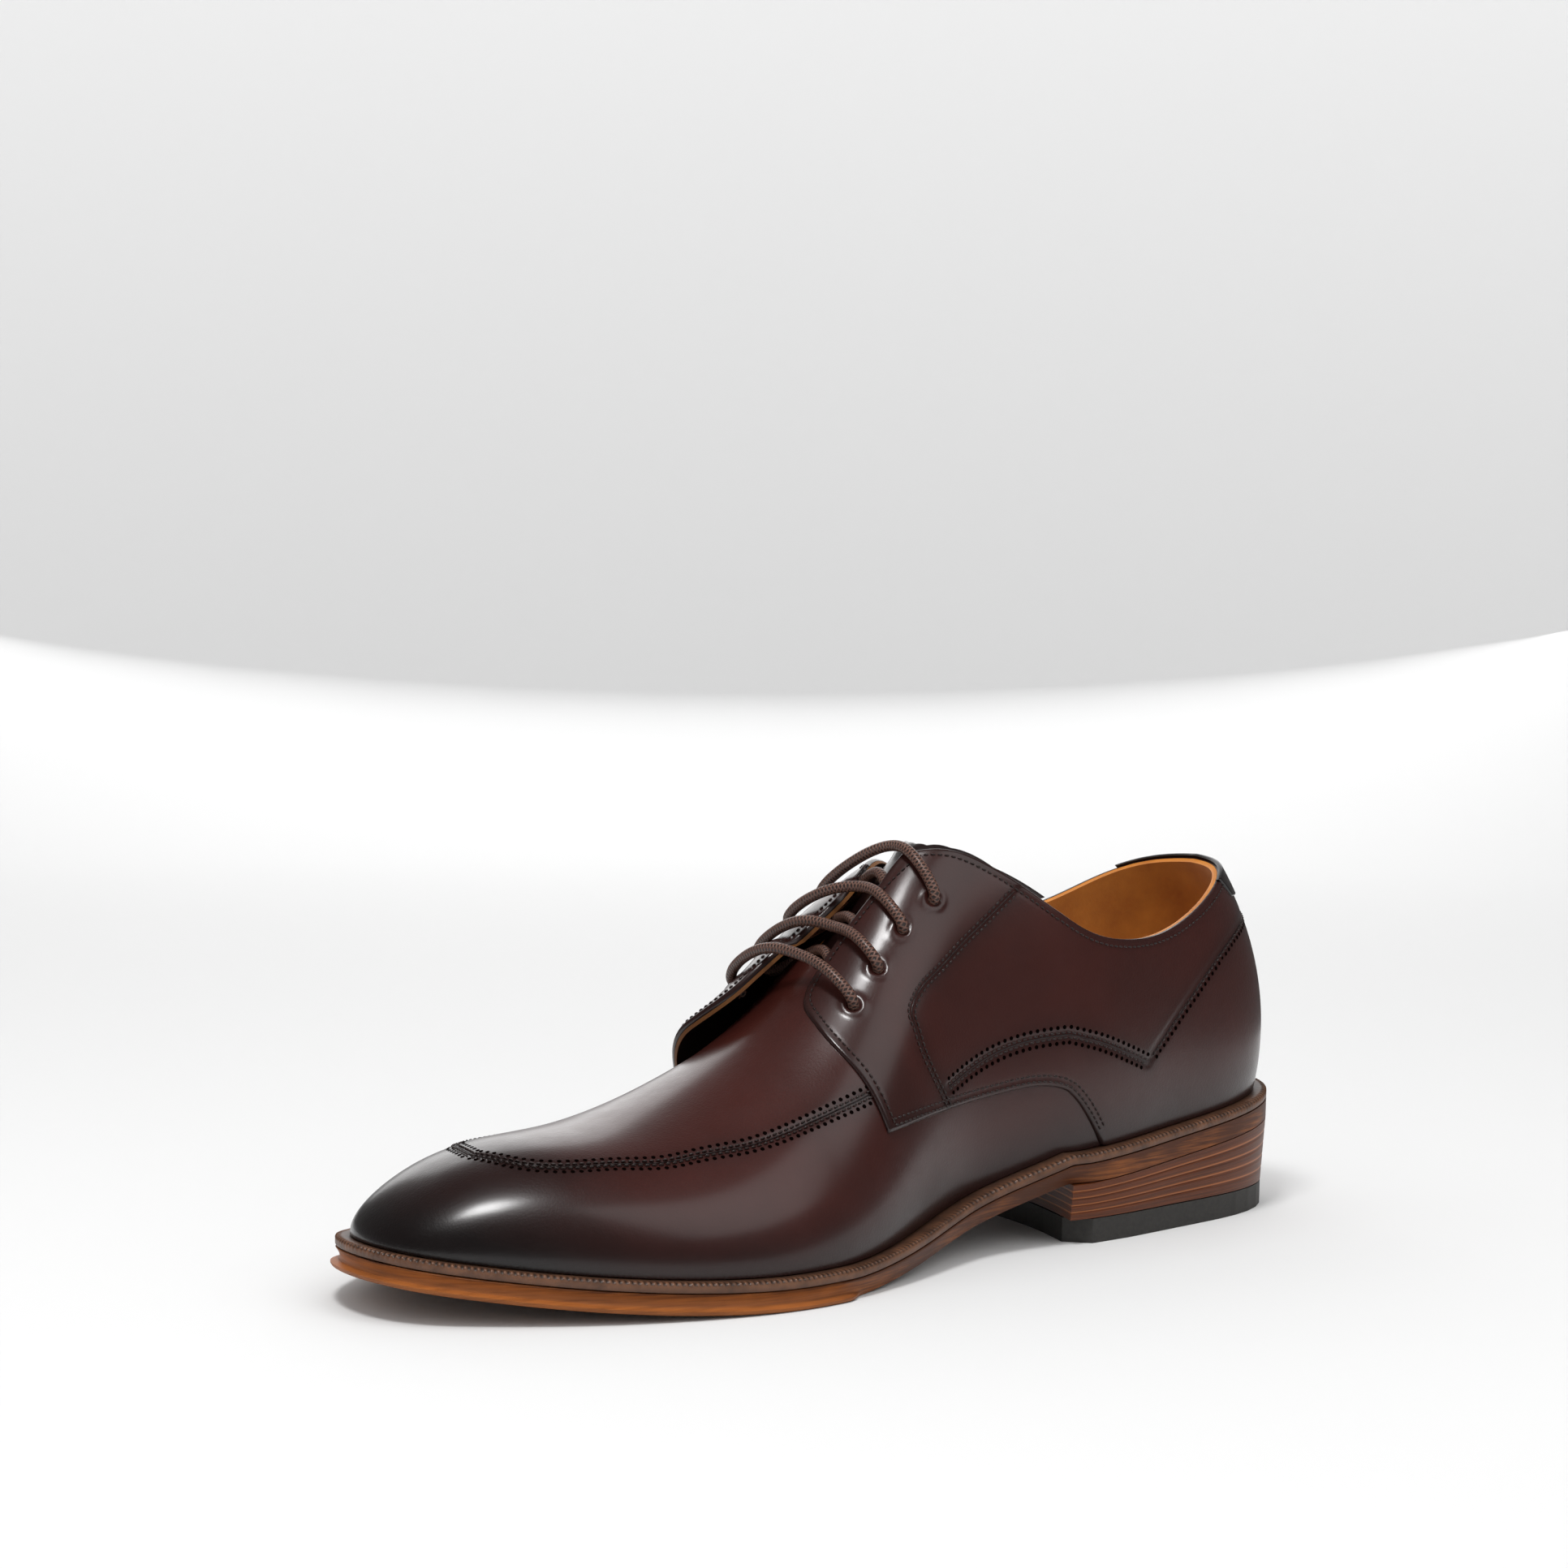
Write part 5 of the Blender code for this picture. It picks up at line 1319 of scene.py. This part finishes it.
def capsules(starts, ends, normals, radius):
    """One closed bead per stitch: rings along it, widest in the middle, pressed in at both ends."""
    share = np.array([0.0, 0.12, 0.35, 0.65, 0.88, 1.0])
    width = np.array([0.25, 0.80, 1.0, 1.0, 0.80, 0.25])
    raised = np.array([-0.6, 0.0, 0.5, 0.5, 0.0, -0.6])
    sides = 6
    ahead = ends - starts
    ahead /= np.linalg.norm(ahead, axis=1, keepdims=True)
    over = normals - ahead * (normals * ahead).sum(-1, keepdims=True)
    over /= np.linalg.norm(over, axis=1, keepdims=True)
    across = np.cross(ahead, over)
    angle = np.arange(sides) * 2 * math.pi / sides
    spokes = np.cos(angle)[None, :, None] * across[:, None] + np.sin(angle)[None, :, None] * over[:, None]
    middle = starts[:, None] + (ends - starts)[:, None] * share[None, :, None]
    middle = middle + over[:, None] * raised[None, :, None] * radius
    rings = middle[:, :, None] + spokes[:, None] * (radius * width)[None, :, None, None]
    one = grid_faces(len(share), sides, closed=True).tolist()
    one += [list(range(sides))[::-1], list(range((len(share) - 1) * sides, len(share) * sides))]
    size = len(share) * sides
    faces = [[k + number * size for k in face] for number in range(len(starts)) for face in one]
    return rings.reshape(-1, 3), faces


def stitch_row(curve, side, seat):
    """Starts, ends and outward directions of the stitches along a (turn, up) line."""
    first = evenly(curve, side, STITCH_PITCH, 0.0004)
    last = evenly(curve, side, STITCH_PITCH, 0.0004 + STITCH_LENGTH)
    count = min(len(first), len(last))
    first = first[:count]
    last = last[:count]
    return seat(first), seat(last), outward(first[:, 0], first[:, 1], side)


def vamp_seat(side):
    return lambda at: off_form(at[:, 0], np.clip(at[:, 1], 0, 1), side, 0.00018)


def quarter_seat(side):
    return lambda at: on_leather(side, at[:, 0], np.clip(at[:, 1], 0, 1), 0.00008)


rows = []
for side in (INNER, OUTER):
    seat = quarter_seat(side)
    for distance in APRON_ROWS:
        rows.append(stitch_row(beside(edge_curve(APRON, 500), side, distance), side, vamp_seat(side)))
    for distance in FACING_ROWS:
        rows.append(stitch_row(beside(edge_curve(FACING_SEAM, 400), side, distance), side, seat))
    for distance in SWAN_ROWS:
        rows.append(stitch_row(beside(edge_curve(SWAN_NECK, 400), side, distance), side, seat))
    rows.append(stitch_row(beside(edge_curve(COUNTER_SEAM, 300), side, COUNTER_ROW), side, seat))
    for distance in LOWER_ROWS:
        lower = beside(edge_curve(LOWER_EDGE[side], 400), side, distance)
        rows.append(stitch_row(lower[20:-8], side, seat))
    front = edge_curve(FRONT_EDGE[side], 500)[10:-6]
    rows.append(stitch_row(beside(front, side, EDGE_STITCH_INSET), side, seat))
    top_turn = np.linspace(COLLAR_ROW_START, turn_of(TOP_LINE[-1][0]), 400)
    collar = np.stack([top_turn, top_line_up(top_turn, side) + COLLAR_ROOM], -1)
    rows.append(stitch_row(beside(collar, side, COLLAR_ROW), side, seat))
starts, ends, normals = (np.concatenate([row[i] for row in rows]) for i in range(3))
points, faces = capsules(starts, ends, normals, STITCH_RADIUS)
stitches = new_piece("seam_stitches", points, faces, thread, 60)
worn_by(stitches, "upper_leather")


# Seam edges: the cut edges of the leather panels, inked nearly black, which show as fine dark
# raised lines along the seams.
EDGE_RADIUS = 0.00014
EDGE_SIDES = 6
EDGE_STEP = 0.0005
edge_ink, tree, shader = new_material("inked_leather_edge", Roughness=0.4, IOR=1.5)
# Edge ink leaves a smooth, slightly blotchy film over the cut fibres.
spot = add_node(tree, "ShaderNodeTexCoord").outputs["Object"]
blotch = add_node(tree, "ShaderNodeTexNoise", {"Vector": spot, "Scale": 700.0})
ramp = add_node(tree, "ShaderNodeValToRGB", {"Fac": blotch.outputs["Fac"]})
ramp.color_ramp.elements[0].color = rgba("#0a0505")
ramp.color_ramp.elements[1].color = rgba("#1f110e")
tree.links.new(ramp.outputs["Color"], shader.inputs["Base Color"])
all_points = []
all_faces = []
total = 0
for side in (INNER, OUTER):
    for table in (APRON, FACING_SEAM, SWAN_NECK, COUNTER_SEAM):
        seat = vamp_seat(side) if table is APRON else quarter_seat(side)
        at = evenly(edge_curve(table, 600), side, EDGE_STEP)
        line = seat(at) - outward(at[:, 0], at[:, 1], side) * EDGE_RADIUS * 0.6
        points, faces, uv = swept_tube(line, EDGE_RADIUS, EDGE_SIDES, np.arange(len(line)) * 1.0)
        all_points.append(points)
        all_faces += [[k + total for k in face] for face in faces]
        total += len(points)
seam_edges = new_piece("seam_edges", np.concatenate(all_points), all_faces, edge_ink, 60)
worn_by(seam_edges, "upper_leather")


# Pinholes: small round holes punched in rows beside the apron, swan-neck and counter seams, and the
# eight eyelets. Their insides lie in shade, so each is drawn as a flat dark lens in its hole: painted shade.
HOLE_RADIUS = 0.00058
EYELET_DIAMETER = 0.0036
HOLE_PITCH = 0.0022
BOTH_HOLE_ROWS = (-0.0021, 0.0021)
COUNTER_HOLE_ROW = (0.0018,)
hole_shade_paint, tree, shader = new_material("painted_hole_shade", Roughness=0.9)
# Painted shade for the inside of a hole: no gloss, nearly black, with a faint fine mottle.
shader.inputs["Specular IOR Level"].default_value = 0.0
spot = add_node(tree, "ShaderNodeTexCoord").outputs["Object"]
fibre = add_node(tree, "ShaderNodeTexNoise", {"Vector": spot, "Scale": 4000.0})
ramp = add_node(tree, "ShaderNodeValToRGB", {"Fac": fibre.outputs["Fac"]})
ramp.color_ramp.elements[0].color = rgba("#020101")
ramp.color_ramp.elements[1].color = rgba("#0a0504")
tree.links.new(ramp.outputs["Color"], shader.inputs["Base Color"])


def lenses(centres, normals, radius, thickness):
    """One small closed lens per hole: a ring with a point above and a point below."""
    sides = 10
    first = np.cross(normals, (0.2, 0.3, 1.0))
    first /= np.linalg.norm(first, axis=1, keepdims=True)
    second = np.cross(normals, first)
    angle = np.arange(sides) * 2 * math.pi / sides
    ring = centres[:, None] + radius * (
        np.cos(angle)[None, :, None] * first[:, None] + np.sin(angle)[None, :, None] * second[:, None])
    ends = np.stack([centres + normals * thickness, centres - normals * thickness], 1)
    one = [[i, (i + 1) % sides, sides] for i in range(sides)]
    one += [[(i + 1) % sides, i, sides + 1] for i in range(sides)]
    size = sides + 2
    faces = [[k + number * size for k in face] for number in range(len(centres)) for face in one]
    return np.concatenate([ring, ends], 1).reshape(-1, 3), faces


centres = []
normals = []
for side in (INNER, OUTER):
    apron = edge_curve(APRON, 500)
    for distance in BOTH_HOLE_ROWS:
        at = evenly(beside(apron, side, distance), side, HOLE_PITCH, 0.0010)
        centres.append(off_form(at[:, 0], at[:, 1], side, 0.00006 + APRON_STEP * (distance < 0)))
        normals.append(outward(at[:, 0], at[:, 1], side))
    for table, distances in ((SWAN_NECK, BOTH_HOLE_ROWS), (COUNTER_SEAM, COUNTER_HOLE_ROW)):
        for distance in distances:
            at = evenly(beside(edge_curve(table, 400), side, distance), side, HOLE_PITCH, 0.0012)
            centres.append(on_leather(side, at[:, 0], at[:, 1], 0.00006))
            normals.append(outward(at[:, 0], at[:, 1], side))
points, faces = lenses(np.concatenate(centres), np.concatenate(normals), HOLE_RADIUS, 0.00008)
# The eyelets get the same flat dark lenses: painted shade where the holes open into the shoe.
hole_centres = []
hole_normals = []
for side in (INNER, OUTER):
    holes = np.array(EYELETS[side])
    turn = turn_of(holes[:, 0])
    hole_centres.append(on_leather(side, turn, holes[:, 1], 0.0002))
    hole_normals.append(outward(turn, holes[:, 1], side))
more_points, more_faces = lenses(
    np.concatenate(hole_centres), np.concatenate(hole_normals), EYELET_DIAMETER / 2, 0.0002)
faces = faces + [[k + len(points) for k in face] for face in more_faces]
points = np.concatenate([points, more_points])
pinholes = new_piece("pinholes", points, faces, hole_shade_paint, 20)
worn_by(pinholes, "upper_leather")
